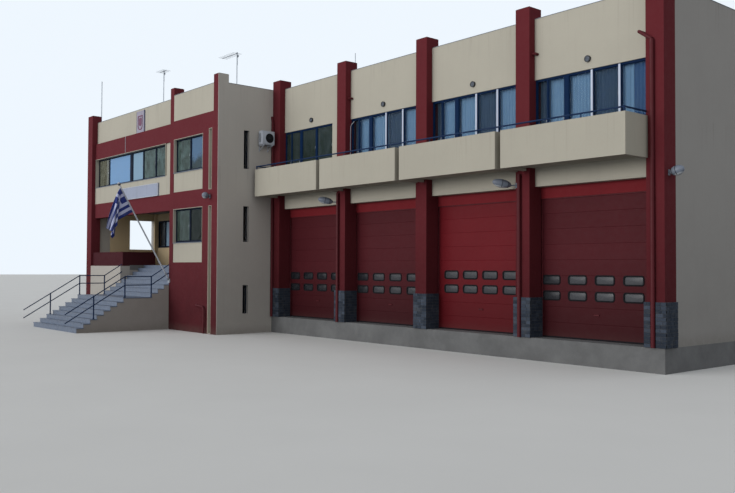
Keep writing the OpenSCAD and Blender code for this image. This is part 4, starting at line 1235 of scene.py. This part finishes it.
@dataclass
class Capping:
    """Thin metal sheets on the parapets and cement screeds on columns and pilasters."""

    over: float = 0.012
    thick: float = 0.02

    def build(self) -> None:
        """Makes the caps."""
        s = Shape(41)
        z, o = LV.parapet, self.over
        office, garage, right, back = LV.wall_t, LV.garage_x, LV.right, LV.back
        inner, side, rear = garage - LV.wall_t, right - LV.wall_t, back - LV.wall_t
        sheets = [(LV.bay_in(i), 0.27 - o, LV.bay_x(i + 1), 0.59 + o) for i in range(LV.bays)]
        sheets += [
            (side - o, 0.59, right + o, back), (garage, rear - o, side - o, back),
            (inner - o, LV.wall_in, garage + o, back), (office, rear - o, inner - o, back),
            (0.0, LV.wall_in, office + o, back), (0.6, LV.band - o, 9.72, LV.wall_in + o),
            (10.07, LV.face - o, 13.65, LV.wall_in + o),
        ]
        for x0, y0, x1, y1 in sheets:
            s.box((x0, y0, z), (x1, y1, z + self.thick), 0.005)
        s.piece("parapet_caps", "cap_metal", "mast_steel")
        tops = Shape(42)
        posts = [(LV.bay_x(i), LV.bay_x(i) + LV.column_w, 0.0, LV.column_d) for i in range(LV.bays + 1)]
        posts += [(x0, x1, LV.face, LV.wall_in) for x0, x1 in LV.pilasters]
        foot, top = LV.column - 0.01, LV.column + 0.015
        for x0, x1, y0, y1 in posts:
            tops.box((x0 + 0.02, y0 + 0.02, foot), (x1 - 0.02, y1 - 0.02, top), 0.008, 2)
        tops.piece("column_screeds", "grey_concrete", "concrete")


@dataclass
class WindowDetails:
    """White sash bars and sills of the windows."""

    bars: Span = (2.641, 3.579)
    rear_half: float = 1.33

    def build(self) -> None:
        """Makes the white bars and the window sills."""
        white, sills = Shape(51), Shape(52)
        for i in range(1, LV.bays):
            for x in (LV.bay_x(i) + bar for bar in self.bars):
                white.box((x - 0.034, 0.290, LV.sill + 0.02), (x + 0.034, 0.321, LV.head - 0.02), 0.005, 2)
        for i in range(LV.bays):
            x0, x1 = LV.bay_x(i) + 1.74, LV.bay_x(i + 1) - (0.64 if i == 0 else 0)
            sills.box((x0, 0.24, LV.sill - 0.03), (x1, 0.325, LV.sill + 0.004), 0.006, 2)
        sills.box((0.6, -2.60, 6.44), (8.87, -2.37, 6.464), 0.006, 2)
        for z in (6.44, 3.24):
            sills.box((10.07, -2.80, z), (12.75, -2.62, z + 0.024), 0.006, 2)
        bays, office = LV.rear_middles()
        rear = [(c, LV.sill - 0.03) for c in bays] + [(c, z) for c in office for z in (6.43, 3.23)]
        half = self.rear_half
        for c, z in rear:
            sills.box((c - half, LV.back - 0.1, z), (c + half, LV.back, z + 0.034), 0.006, 2)
        white.piece("white_sash_bars", "white_mullion", "white_metal")
        sills.piece("window_sills", "pale_marble", "marble")


@dataclass
class OutdoorUnit:
    """The cooling unit on the office's side: case, fan guard, louvres, brackets and pipes."""

    x0: float = 14.16
    x1: float = 14.46
    y0: float = -0.82
    y1: float = -0.17
    z0: float = 7.50
    z1: float = 8.12
    fan: float = 0.21

    def build(self) -> None:
        """Makes the unit in the place of its plain solid."""
        case, dark, guard = Shape(81), Shape(82), Shape(83)
        x0, x1, y0, y1, z0, z1 = self.x0, self.x1, self.y0, self.y1, self.z0, self.z1
        fan_y, fan_z = y1 - 0.265, (z0 + z1) / 2
        case.box((x0, y0, z0 + 0.02), (x1 - 0.02, y1, z1 - 0.03), 0.015, 2)
        case.box((x0 - 0.004, y0 - 0.004, z1 - 0.05), (x1 - 0.012, y1 + 0.004, z1), 0.012, 2)
        case.plate(
            (x1 - 0.021, (y0 + y1) / 2, fan_z - 0.012), (y1 - y0 - 0.02, z1 - z0 - 0.10), 0.03, 0.014,
            facing=(1, 0, 0), bevel=0.005,
        )
        case.ring((x1 - 0.004, fan_y, fan_z), (1, 0, 0), self.fan + 0.012, 0.024, 0.012, 32)
        dark.rod((x1 - 0.012, fan_y, fan_z), (x1 - 0.003, fan_y, fan_z), self.fan, 32)
        for k in range(9):
            z = z0 + 0.12 + k * 0.045
            case.box((x0 + 0.05, y0 - 0.012, z), (x1 - 0.08, y0 + 0.002, z + 0.022), 0.005)
            dark.box((x0 + 0.05, y0 - 0.003, z + 0.024), (x1 - 0.08, y0 + 0.001, z + 0.040), 0.001)
        for r in (0.05, 0.09, 0.13, 0.17):
            guard.ring((x1 + 0.002, fan_y, fan_z), (1, 0, 0), r, 0.006, 0.006, 28)
        for k in range(8):
            a = math.pi * k / 8
            dy, dz = self.fan * math.cos(a), self.fan * math.sin(a)
            guard.rod((x1 - 0.001, fan_y - dy, fan_z - dz), (x1 - 0.001, fan_y + dy, fan_z + dz), 0.003, 6)
        guard.rod((x1 - 0.004, fan_y, fan_z), (x1 + 0.004, fan_y, fan_z), 0.035, 18, bevel=0.003)
        wall = LV.garage_x
        for y in (y0 + 0.09, y1 - 0.13):
            case.box((wall, y, z0 - 0.02), (x1, y + 0.04, z0 + 0.018), 0.004)
            case.box((wall, y, z0 - 0.26), (wall + 0.012, y + 0.04, z0), 0.003)
            case.rod((wall + 0.006, y + 0.02, z0 - 0.24), (x1 - 0.06, y + 0.02, z0 - 0.01), 0.012, 10)
            for x in (x0 + 0.02, x1 - 0.08):
                case.box((x, y - 0.01, z0 + 0.01), (x + 0.04, y + 0.05, z0 + 0.03), 0.004)
        for k, r in enumerate((0.014, 0.010)):
            z = z0 + 0.10 + 0.05 * k
            dark.tube(
                [(x0 + 0.10, y1 - 0.002, z), (x0 + 0.10, y1 + 0.05, z), (x0 + 0.07, y1 + 0.085, z - 0.02),
                 (x0 + 0.02, y1 + 0.095, z - 0.04), (wall + 0.005, y1 + 0.095, z - 0.05)], r,
            )
        case.piece("unit_case", "white_enamel", "white_metal", smooth=True, replaces=["air_conditioner"])
        dark.piece("unit_voids", "black_rubber", "white_metal", smooth=True)
        guard.piece("unit_guard", "dark_steel", "mast_steel", smooth=True)


@dataclass
class Stair:
    """Marble risers, dark grip strips, post flanges and well walls of the outside stair."""

    x0: float = 4.42
    x1: float = 9.72
    going: float = 0.3
    foot_y: float = -7.05
    landing_y: float = -3.60
    rises: Tuple[float, float] = (0.18125, 0.1875)
    bases: Tuple[float, float] = (-0.7, 0.75)
    tread: float = 0.035
    well: Tuple[float, float, float] = (-0.75, -0.549, 1.998)

    def build(self) -> None:
        """Makes the stair's small parts, and the walls beside it under the loggia's floor."""
        back, low, high = self.well
        walls = Shape(74)
        for x in (self.x0 - 0.12, self.x1):
            walls.box((x, LV.wall_in, low), (x + 0.12, back, high), 0.004)
        walls.piece("stair_well_walls", "stair_side", "concrete")
        risers, strips, flanges = Shape(71), Shape(72), Shape(73)
        joints = [self.x0 + 0.003 + (self.x1 - self.x0 - 0.006) * k / 5 for k in range(6)]
        for y0, rise, base in zip((self.foot_y, self.landing_y), self.rises, self.bases):
            for i in range(8):
                y = y0 + i * self.going
                low, high = base + i * rise + (self.tread if i else 0.0), base + (i + 1) * rise
                for a, b in zip(joints, joints[1:]):
                    tone = risers.dice.random()
                    risers.box((a, y - 0.012, low), (b - 0.003, y + 0.001, high), 0.002, tone=tone)
                if i < 7:
                    a, b, top = self.x0 + 0.12, self.x1 - 0.12, high + self.tread
                    strips.box((a, y + 0.01, top - 0.001), (b, y + 0.045, top + 0.002), 0.001)
        for x in (self.x0 + 0.04, self.x1 - 0.04):
            for y, z in ((-6.30, -0.121), (-4.88, 0.785), (-3.62, 0.785)):
                flanges.rod((x, y, z), (x, y, z + 0.012), 0.06, 20, bevel=0.003)
                flanges.rod((x, y, z + 0.01), (x, y, z + 0.04), 0.038, 20, 0.032)
                for k in range(4):
                    a = math.pi * (0.25 + 0.5 * k)
                    px, py = x + 0.047 * math.cos(a), y + 0.047 * math.sin(a)
                    flanges.rod((px, py, z + 0.01), (px, py, z + 0.02), 0.007, 6)
        risers.piece("stair_risers", "pale_marble", "marble")
        strips.piece("stair_grips", "black_rubber", "marble")
        flanges.piece("stair_post_flanges", "rail_paint", "rail_steel", smooth=True)


@dataclass
class Entrance:
    """Raised panels, handles and threshold of the wooden entrance door in the loggia."""

    x0: float = 6.42
    x1: float = 8.02
    face: float = 1.26
    floor: float = 2.25

    def build(self) -> None:
        """Makes the door's details."""
        wood, steel = Shape(91), Shape(92)
        middle, y, floor = (self.x0 + self.x1) / 2, self.face, self.floor
        for c in ((self.x0 + middle) / 2, (self.x1 + middle) / 2):
            for z, h in ((floor + 0.55, 0.7), (floor + 1.3, 0.5), (floor + 1.9, 0.45)):
                wood.plate((c, y + 0.001, z), (0.56, h), 0.012, 0.018, 0.05, bevel=0.006)
                wood.plate((c, y + 0.001, z), (0.40, h - 0.16), 0.02, 0.012, bevel=0.005)
        wood.box((middle - 0.03, y - 0.02, floor + 0.01), (middle + 0.03, y, floor + 2.28), 0.008, 2)
        hand = floor + 1.05
        for side in (-1, 1):
            x = middle + 0.09 * side
            steel.box((x - 0.018, y - 0.008, floor + 0.92), (x + 0.018, y + 0.001, floor + 1.14), 0.004)
            steel.rod((x, y, hand), (x, y - 0.05, hand), 0.009, 12)
            steel.rod((x, y - 0.045, hand), (x + 0.12 * side, y - 0.045, hand), 0.009, 12, bevel=0.002)
        steel.box((self.x0, y - 0.05, floor), (self.x1, y + 0.01, floor + 0.018), 0.005)
        wood.piece("entrance_panels", "dark_wood", "door_wood")
        steel.piece("entrance_handles", "zinc_steel", "mast_steel", smooth=True)


@dataclass
class Fittings:
    """Vent grilles, pipe clamps, lamp glasses, the signboard's frame and the like."""

    pole_foot: Point = (9.78, -2.80, 1.56)
    lean: float = math.radians(30)
    rail: Span = (-1.05, 6.39)
    sign: Point = (5.995, -2.631, 5.87)
    crest: Point = (5.97, -2.511, 9.36)
    crest_ends: Span = (8.86, 9.95)
    mast_tops: Tuple[Point, ...] = ((0.45, -2.21, 12.39), (1.45, 1.0, 13.31), (9.33, 1.0, 12.80))
    cable: Tuple[Point, ...] = (
        (19.43, 0.262, 7.98), (19.36, 0.258, 7.93), (19.26, 0.258, 7.87), (19.215, 0.258, 7.80),
        (19.20, 0.258, 7.4), (19.20, 0.258, 6.1),
    )
    standpipe: Tuple[Point, ...] = (
        (12.36, -2.74, 0.50), (12.36, -2.83, 0.50), (12.42, -2.85, 0.50), (12.95, -2.85, 0.46),
        (13.06, -2.85, 0.40), (13.09, -2.85, 0.28), (13.09, -2.85, -0.69),
    )

    def on_pole(self, s: float, off: float = 0.0) -> Point:
        """Gives a point at a length along the flagpole, `off` below its axis."""
        x, y, z = self.pole_foot
        return (
            x, y - s * math.sin(self.lean) - off * math.cos(self.lean),
            z + s * math.cos(self.lean) - off * math.sin(self.lean),
        )

    def vents(self) -> None:
        """Makes a grille of slats in each round vent."""
        s = Shape(61)
        for i in range(LV.bays):
            x = LV.bay_in(i) + LV.clear * 0.49
            for k in range(-3, 4):
                half = math.sqrt(0.072**2 - (k * 0.02) ** 2)
                z = LV.head + 0.31 + k * 0.02
                s.box((x - half, 0.218, z - 0.006), (x + half, 0.232, z + 0.006), 0.002)
        s.piece("vent_grilles", "lamp_shell", "white_metal")

    def clamps(self) -> None:
        """Makes the straps that hold the downpipes, and their sleeves."""
        s = Shape(62)
        tops = {0: 8.2, 1: 5.0, 3: 5.0, 4: 8.2}
        for i, off in enumerate(StoneFeet().pipe_offs):
            if off is None:
                continue
            x, z = LV.bay_x(i) + off, 1.5
            while z < tops[i]:
                s.ring((x, -0.06, z), (0, 0, 1), 0.0655, 0.007, 0.03, 18)
                s.box((x - 0.010, -0.010, z - 0.025), (x + 0.010, 0.0, z + 0.025), 0.003)
                z += 1.3
        s.piece("pipe_clamps", "pipe_paint", "red_plaster", smooth=True)

    def lamps(self) -> None:
        """Makes the glass and collar of each lamp."""
        glass, collars = Shape(63), Shape(64)
        rows = [(LV.bay_x(i) + 0.047, 0.0, 4.79, 0.23, 0.62, -42.0) for i in (1, 3)]
        rows += [(LV.right, 0.236, 4.79, 0.11, 0.403, 90.0), (13.405, LV.face, 5.19, 0.13, 0.31, 0.0)]
        for x, y, z, reach, length, turn in rows:
            spin = Matrix.Rotation(math.radians(turn), 4, "Z")
            foot = Vector((x, y, z)) + spin @ Vector((0, 0.06 - reach, 0))
            spin = spin @ Matrix.Rotation(math.radians(-12), 4, "X")
            centre = foot + spin @ Vector((0, -length * 0.52, -0.028))
            glass.knob(tuple(centre), (0.115, length * 0.42, 0.118), spin)
            for k in (0.18, 0.5):
                middle = foot + spin @ Vector((0, -length * k, 0))
                radius = 0.135 * math.sqrt(max(0.0, 1 - (2 * k - 1) ** 2)) + 0.003
                collars.ring(tuple(middle), tuple(spin @ Vector((0, 1, 0))), radius, 0.008, 0.016, 24)
        glass.piece("lamp_glasses", "lamp_glass", "glass", smooth=True)
        collars.piece("lamp_collars", "dark_steel", "white_metal", smooth=True)

    def boards(self) -> None:
        """Makes the signboard's frame and screws, the crest panel's frame and shield, and dark strips beside
        the crest panel that are painted shadow.
        """
        trim, crest, edge = Shape(65), Shape(66), Shape(59)
        trim.plate(self.sign, (4.45, 0.62), 0.01, 0.012, 0.028, bevel=0.004)
        for x, z in product((3.90, 5.30, 6.69, 8.09), (5.61, 6.13)):
            trim.rod((x, -2.632, z), (x, -2.640, z), 0.012, 12, bevel=0.002)
        x, y, z = self.crest
        foot, top = self.crest_ends
        crest.plate((x, y, z), (0.52, 0.72), 0.22, 0.014, 0.06, bevel=0.004, lower_only=True)
        crest.plate((x, y, z + 0.04), (0.28, 0.40), 0.11, 0.010, bevel=0.004, lower_only=True)
        # Painted shadow: dark strips along the crest panel's right and left sides.
        edge.box((x + 0.43, y - 0.013, foot), (x + 0.48, y + 0.006, top), 0.005)
        edge.box((x - 0.42, y - 0.005, foot), (x - 0.40, y + 0.006, top), 0.004)
        trim.piece("sign_frame", "white_enamel", "white_metal")
        crest.piece("crest_shield", "crest_red", "red_plaster")
        edge.piece("crest_shadow_strips", "rail_paint", "mast_steel")

    def masts(self) -> None:
        """Makes the feet, clamps and boxes of the masts, and the pole's finial and ties."""
        s, ties = Shape(67), Shape(68)
        for x, y, top in self.mast_tops:
            s.rod((x, y, LV.roof), (x, y, LV.roof + 0.014), 0.10, 20, bevel=0.003)
            s.rod((x, y, LV.roof + 0.012), (x, y, LV.roof + 0.10), 0.034, 16, 0.028)
            if top < 12.5:
                s.knob((x, y, top - 0.02), (0.027, 0.027, 0.035))
                continue
            s.box((x - 0.045, y - 0.03, top - 0.035), (x + 0.045, y + 0.03, top + 0.035), 0.008, 2)
            s.box((x - 0.05, y + 0.026, top - 0.19), (x + 0.05, y + 0.075, top - 0.07), 0.012, 2)
            cable = ((0.05, 0.19), (0.045, 0.35), (0.03, 0.6))
            s.tube([(x, y + out, top - down) for out, down in cable], 0.005, 8)
        s.rod(self.on_pole(0.02), self.on_pole(0.10), 0.046, 20, bevel=0.006)
        s.rod(self.on_pole(0.30), self.on_pole(0.36), 0.040, 20, bevel=0.006)
        for k in (3.56, 3.95, 4.34, 4.72):
            a, b = Vector(self.on_pole(k)), Vector(self.on_pole(k + 0.02))
            ties.ring(tuple(a), tuple(b - a), 0.0335, 0.006, 0.02, 16)
        ties.tube([self.on_pole(t, 0.036) for t in (0.9, 1.5, 2.2, 3.0, 3.54)], 0.004, 6)
        x, y, _ = self.on_pole(0.9)
        ties.box((x - 0.02, y - 0.05, 2.31), (x + 0.02, y - 0.02, 2.39), 0.006)
        finial = Shape(58)
        finial.rod(self.on_pole(4.86), self.on_pole(4.93), 0.058, 18, bevel=0.006)
        finial.rod(self.on_pole(4.93), self.on_pole(4.975), 0.05, 18, 0.02, bevel=0.004)
        finial.piece("pole_finial", "dark_steel", "mast_steel", smooth=True)
        s.piece("mast_fittings", "zinc_steel", "mast_steel", smooth=True)
        ties.piece("flag_ties", "white_enamel", "white_metal", smooth=True)

    def conduits(self) -> None:
        """Makes the thin pipes and cables that run on the walls, and the red standpipe."""
        pale, red = Shape(69), Shape(70)
        pale.tube([(4.42, -2.578, 8.0), (4.40, -2.578, 8.4), (4.40, -2.578, 8.85)], 0.011, 8)
        pale.tube(self.cable, 0.012, 8)
        for z in (8.1, 8.5):
            pale.box((4.385, -2.585, z), (4.425, -2.566, z + 0.02), 0.003)
        red.tube(self.standpipe, 0.036, 14)
        x, y, _ = self.standpipe[-1]
        for z in (0.1, -0.4):
            red.ring((x, y, z), (0, 0, 1), 0.041, 0.008, 0.03, 16)
            red.box((x - 0.015, y + 0.03, z - 0.02), (x + 0.015, y + 0.085, z + 0.02), 0.004)
        pale.piece("wall_conduits", "white_enamel", "white_metal", smooth=True)
        red.piece("standpipe", "pipe_paint", "red_plaster", smooth=True)

    def flanges(self) -> None:
        """Makes the small feet of the balcony rail's posts."""
        s = Shape(74)
        y, z = self.rail
        for i in range(LV.bays):
            left = 14.34 if i == 0 else LV.bay_x(i) + 0.31
            right = 32.51 if i == 3 else LV.bay_x(i + 1) + 0.09
            for k in (1 / 3, 2 / 3):
                x = left + (right - left) * k
                s.rod((x, y, z), (x, y, z + 0.01), 0.045, 16, bevel=0.003)
                s.rod((x, y, z + 0.008), (x, y, z + 0.04), 0.026, 14, 0.018)
        s.piece("balcony_post_flanges", "rail_paint", "rail_steel", smooth=True)

    def build(self) -> None:
        """Makes all the fittings."""
        for make in (
            self.vents, self.clamps, self.lamps, self.boards, self.masts, self.conduits, self.flanges,
        ):
            make()


@dataclass
class Flag:
    """The striped flag that hangs from the leaning pole, draped by a cloth simulation."""

    fly: float = 1.9
    hoist: float = 1.2
    steps: int = 90
    x: float = 9.78
    low: Tuple[float, float] = (-4.60, 4.61)
    high: Tuple[float, float] = (-5.20, 5.649)
    slope: float = math.radians(30)

    def grid(self) -> bpy.types.Object:
        """Makes the flat cloth, its hoist on the pole and its UV map 0 to 1 both ways."""
        bm = bmesh.new()
        uv = bm.loops.layers.uv.new("UVMap")
        bmesh.ops.create_grid(bm, x_segments=46, y_segments=30, size=0.5)
        for f in bm.faces:
            for loop in f.loops:
                loop[uv].uv = (loop.vert.co.x + 0.5, loop.vert.co.y + 0.5)
        for v in bm.verts:
            s, t = v.co.x + 0.5, v.co.y + 0.5
            y = self.low[0] + t * (self.high[0] - self.low[0]) - s * self.fly * math.cos(self.slope)
            z = self.low[1] + t * (self.high[1] - self.low[1]) - s * self.fly * math.sin(self.slope)
            wave = 0.015 * s * math.sin(9 * s + 4 * t) + 0.01 * s * noise.noise(Vector((3 * s, 3 * t, 1)))
            v.co = at(self.x + wave, y, z)
        return settle(bm, "flag_draped", PALETTE.get("flag_cloth"), smooth=True)

    def drape(self, obj: bpy.types.Object) -> None:
        """Lets the cloth fall from its hoist and keeps the last step's mesh."""
        scene = bpy.context.scene
        pins = obj.vertex_groups.new(name="hoist")
        uv = obj.data.uv_layers["UVMap"].data
        held = {obj.data.loops[k].vertex_index for k in range(len(uv)) if uv[k].uv.x < 0.001}
        pins.add(sorted(held), 1.0, "REPLACE")
        cloth = obj.modifiers.new("cloth", "CLOTH")
        linen = {
            "quality": 8, "mass": 0.05, "tension_stiffness": 40, "compression_stiffness": 20,
            "shear_stiffness": 1.5, "bending_stiffness": 0.03, "air_damping": 1.0,
            "vertex_group_mass": "hoist",
        }
        for name, value in linen.items():
            setattr(cloth.settings, name, value)
        cloth.collision_settings.use_self_collision = True
        cloth.collision_settings.self_distance_min = 0.008
        cloth.point_cache.frame_start = 1
        cloth.point_cache.frame_end = self.steps
        kept = scene.gravity.copy()
        scene.gravity = (-0.2, -1.5, -9.7)
        for step in range(1, self.steps + 1):
            scene.frame_set(step)
        graph = bpy.context.evaluated_depsgraph_get()
        fallen = bpy.data.meshes.new_from_object(obj.evaluated_get(graph))
        obj.modifiers.clear()
        obj.vertex_groups.clear()
        obj.data = fallen
        fallen.name = "flag_draped"
        scene.gravity = kept
        scene.frame_set(1)

    def build(self) -> None:
        """Makes the flag."""
        obj = self.grid()
        self.drape(obj)
        obj.modifiers.new("thickness", "SOLIDIFY").thickness = 0.002
        adopt(obj, ["flag"])
        low = [min(v.co[k] for v in obj.data.vertices) for k in range(3)]
        high = [max(v.co[k] for v in obj.data.vertices) for k in range(3)]
        LOG.info("flag from %s to %s", [round(c, 2) for c in low], [round(c, 2) for c in high])


@dataclass
class Studio:
    """Pale floor, white surroundings, soft lamps and the camera."""

    eye: Point = (28.4933, -25.3756, 2.8255)
    yaw: float = 49.6144
    pitch: float = 1.5182
    roll: float = 0.2667
    lens: float = 40.8986
    sun: Point = (-0.40, -0.88, 0.24)
    sun_power: float = 1.1
    fills: Tuple[Tuple[Point, float, float], ...] = (
        ((-0.15, -0.98, 0.08), 1.2, 22.0), ((0.9, -0.35, 0.25), 0.42, 40.0),
    )
    sky_power: float = 0.5

    def camera(self) -> None:
        """Sets the camera at the photograph's place."""
        data = bpy.data.cameras.new("photo_camera")
        data.lens = self.lens
        data.sensor_width = 36.0
        data.clip_end = 500.0
        cam = bpy.data.objects.new("photo_camera", data)
        y, p, r = (math.radians(a) for a in (self.yaw, self.pitch, self.roll))
        look = Vector((-math.sin(y) * math.cos(p), math.cos(y) * math.cos(p), math.sin(p)))
        right = Vector((math.cos(y), math.sin(y), 0))
        tilted = math.cos(r) * right + math.sin(r) * right.cross(look)
        axes = Matrix((tilted, tilted.cross(look), -look)).transposed().to_4x4()
        cam.matrix_world = Matrix.Translation(self.eye) @ axes
        bpy.context.scene.collection.objects.link(cam)
        bpy.context.scene.camera = cam

    def seen(self, tree: bpy.types.NodeTree) -> Socket:
        """Gives 1 on the rays that show a surface: from the camera, a gloss or a glass."""
        path = tree.nodes.new("ShaderNodeLightPath")
        total = path.outputs["Is Camera Ray"]
        for name in ("Is Glossy Ray", "Is Transmission Ray"):
            larger = tree.nodes.new("ShaderNodeMath")
            larger.operation = "MAXIMUM"
            tree.links.new(total, larger.inputs[0])
            tree.links.new(path.outputs[name], larger.inputs[1])
            total = larger.outputs[0]
        return total

    def floor(self) -> None:
        """Lays a wide pale floor, which sends less light up near the building."""
        bm = bmesh.new()
        bmesh.ops.create_grid(bm, x_segments=4, y_segments=4, size=300.0)
        g = Graph("floor")
        pale = g.mix(g.noise(0.3, 3), srgb(214, 214, 212), srgb(222, 222, 220))
        away = g.between(g.height(Axis.Y), -26.0, -12.0, 0.80, 0.16)
        grey = g.node("CombineColor", Red=away, Green=away, Blue=away)
        tone = g.mix(self.seen(g.tree), grey.outputs[0], pale)
        settle(bm, "floor", g.finish(tone, 0.9))

    def light(self) -> None:
        """Sets the world, a wide soft key lamp and two weaker fills."""
        world = bpy.data.worlds.new("studio")
        bpy.context.scene.world = world
        world.use_nodes = True
        tree = world.node_tree
        tree.nodes.clear()
        out = tree.nodes.new("ShaderNodeOutputWorld")
        lit, seen = (tree.nodes.new("ShaderNodeBackground") for _ in range(2))
        lit.inputs[0].default_value = (0.93, 0.96, 1.0, 1.0)
        lit.inputs[1].default_value = self.sky_power
        seen.inputs[0].default_value = (0.86, 0.93, 1.0, 1.0)
        seen.inputs[1].default_value = 1.0
        mix = tree.nodes.new("ShaderNodeMixShader")
        tree.links.new(self.seen(tree), mix.inputs[0])
        tree.links.new(lit.outputs[0], mix.inputs[1])
        tree.links.new(seen.outputs[0], mix.inputs[2])
        tree.links.new(mix.outputs[0], out.inputs["Surface"])
        self.lamp("key", self.sun, self.sun_power, 50.0)
        for k, (way, power, width) in enumerate(self.fills):
            self.lamp("fill_%d" % (k + 1), way, power, width)

    def lamp(self, name: str, way: Point, power: float, width: float) -> None:
        """Hangs a wide soft lamp in a direction, its width in degrees."""
        data = bpy.data.lights.new(name, "SUN")
        data.energy = power
        data.angle = math.radians(width)
        data.color = (1.0, 0.985, 0.96)
        lamp = bpy.data.objects.new(name, data)
        lamp.rotation_mode = "QUATERNION"
        lamp.rotation_quaternion = Vector(way).to_track_quat("Z", "Y")
        bpy.context.scene.collection.objects.link(lamp)

    def build(self) -> None:
        """Sets up the whole studio."""
        self.camera()
        self.floor()
        self.light()
        bpy.context.scene.view_settings.view_transform = "Standard"
        LOG.info("studio ready")


def main() -> None:
    """Builds every sub-assembly in order."""
    Studio().build()
    NodeFinishes().dress()
    for part in (
        StoneFeet(), DoorDetails(), Panes(), Curtains(), Capping(), WindowDetails(),
        OutdoorUnit(), Stair(), Entrance(), Fittings(), Flag(),
    ):
        part.build()
        LOG.info("built %s", type(part).__name__)


if __name__ == "__main__":
    main()
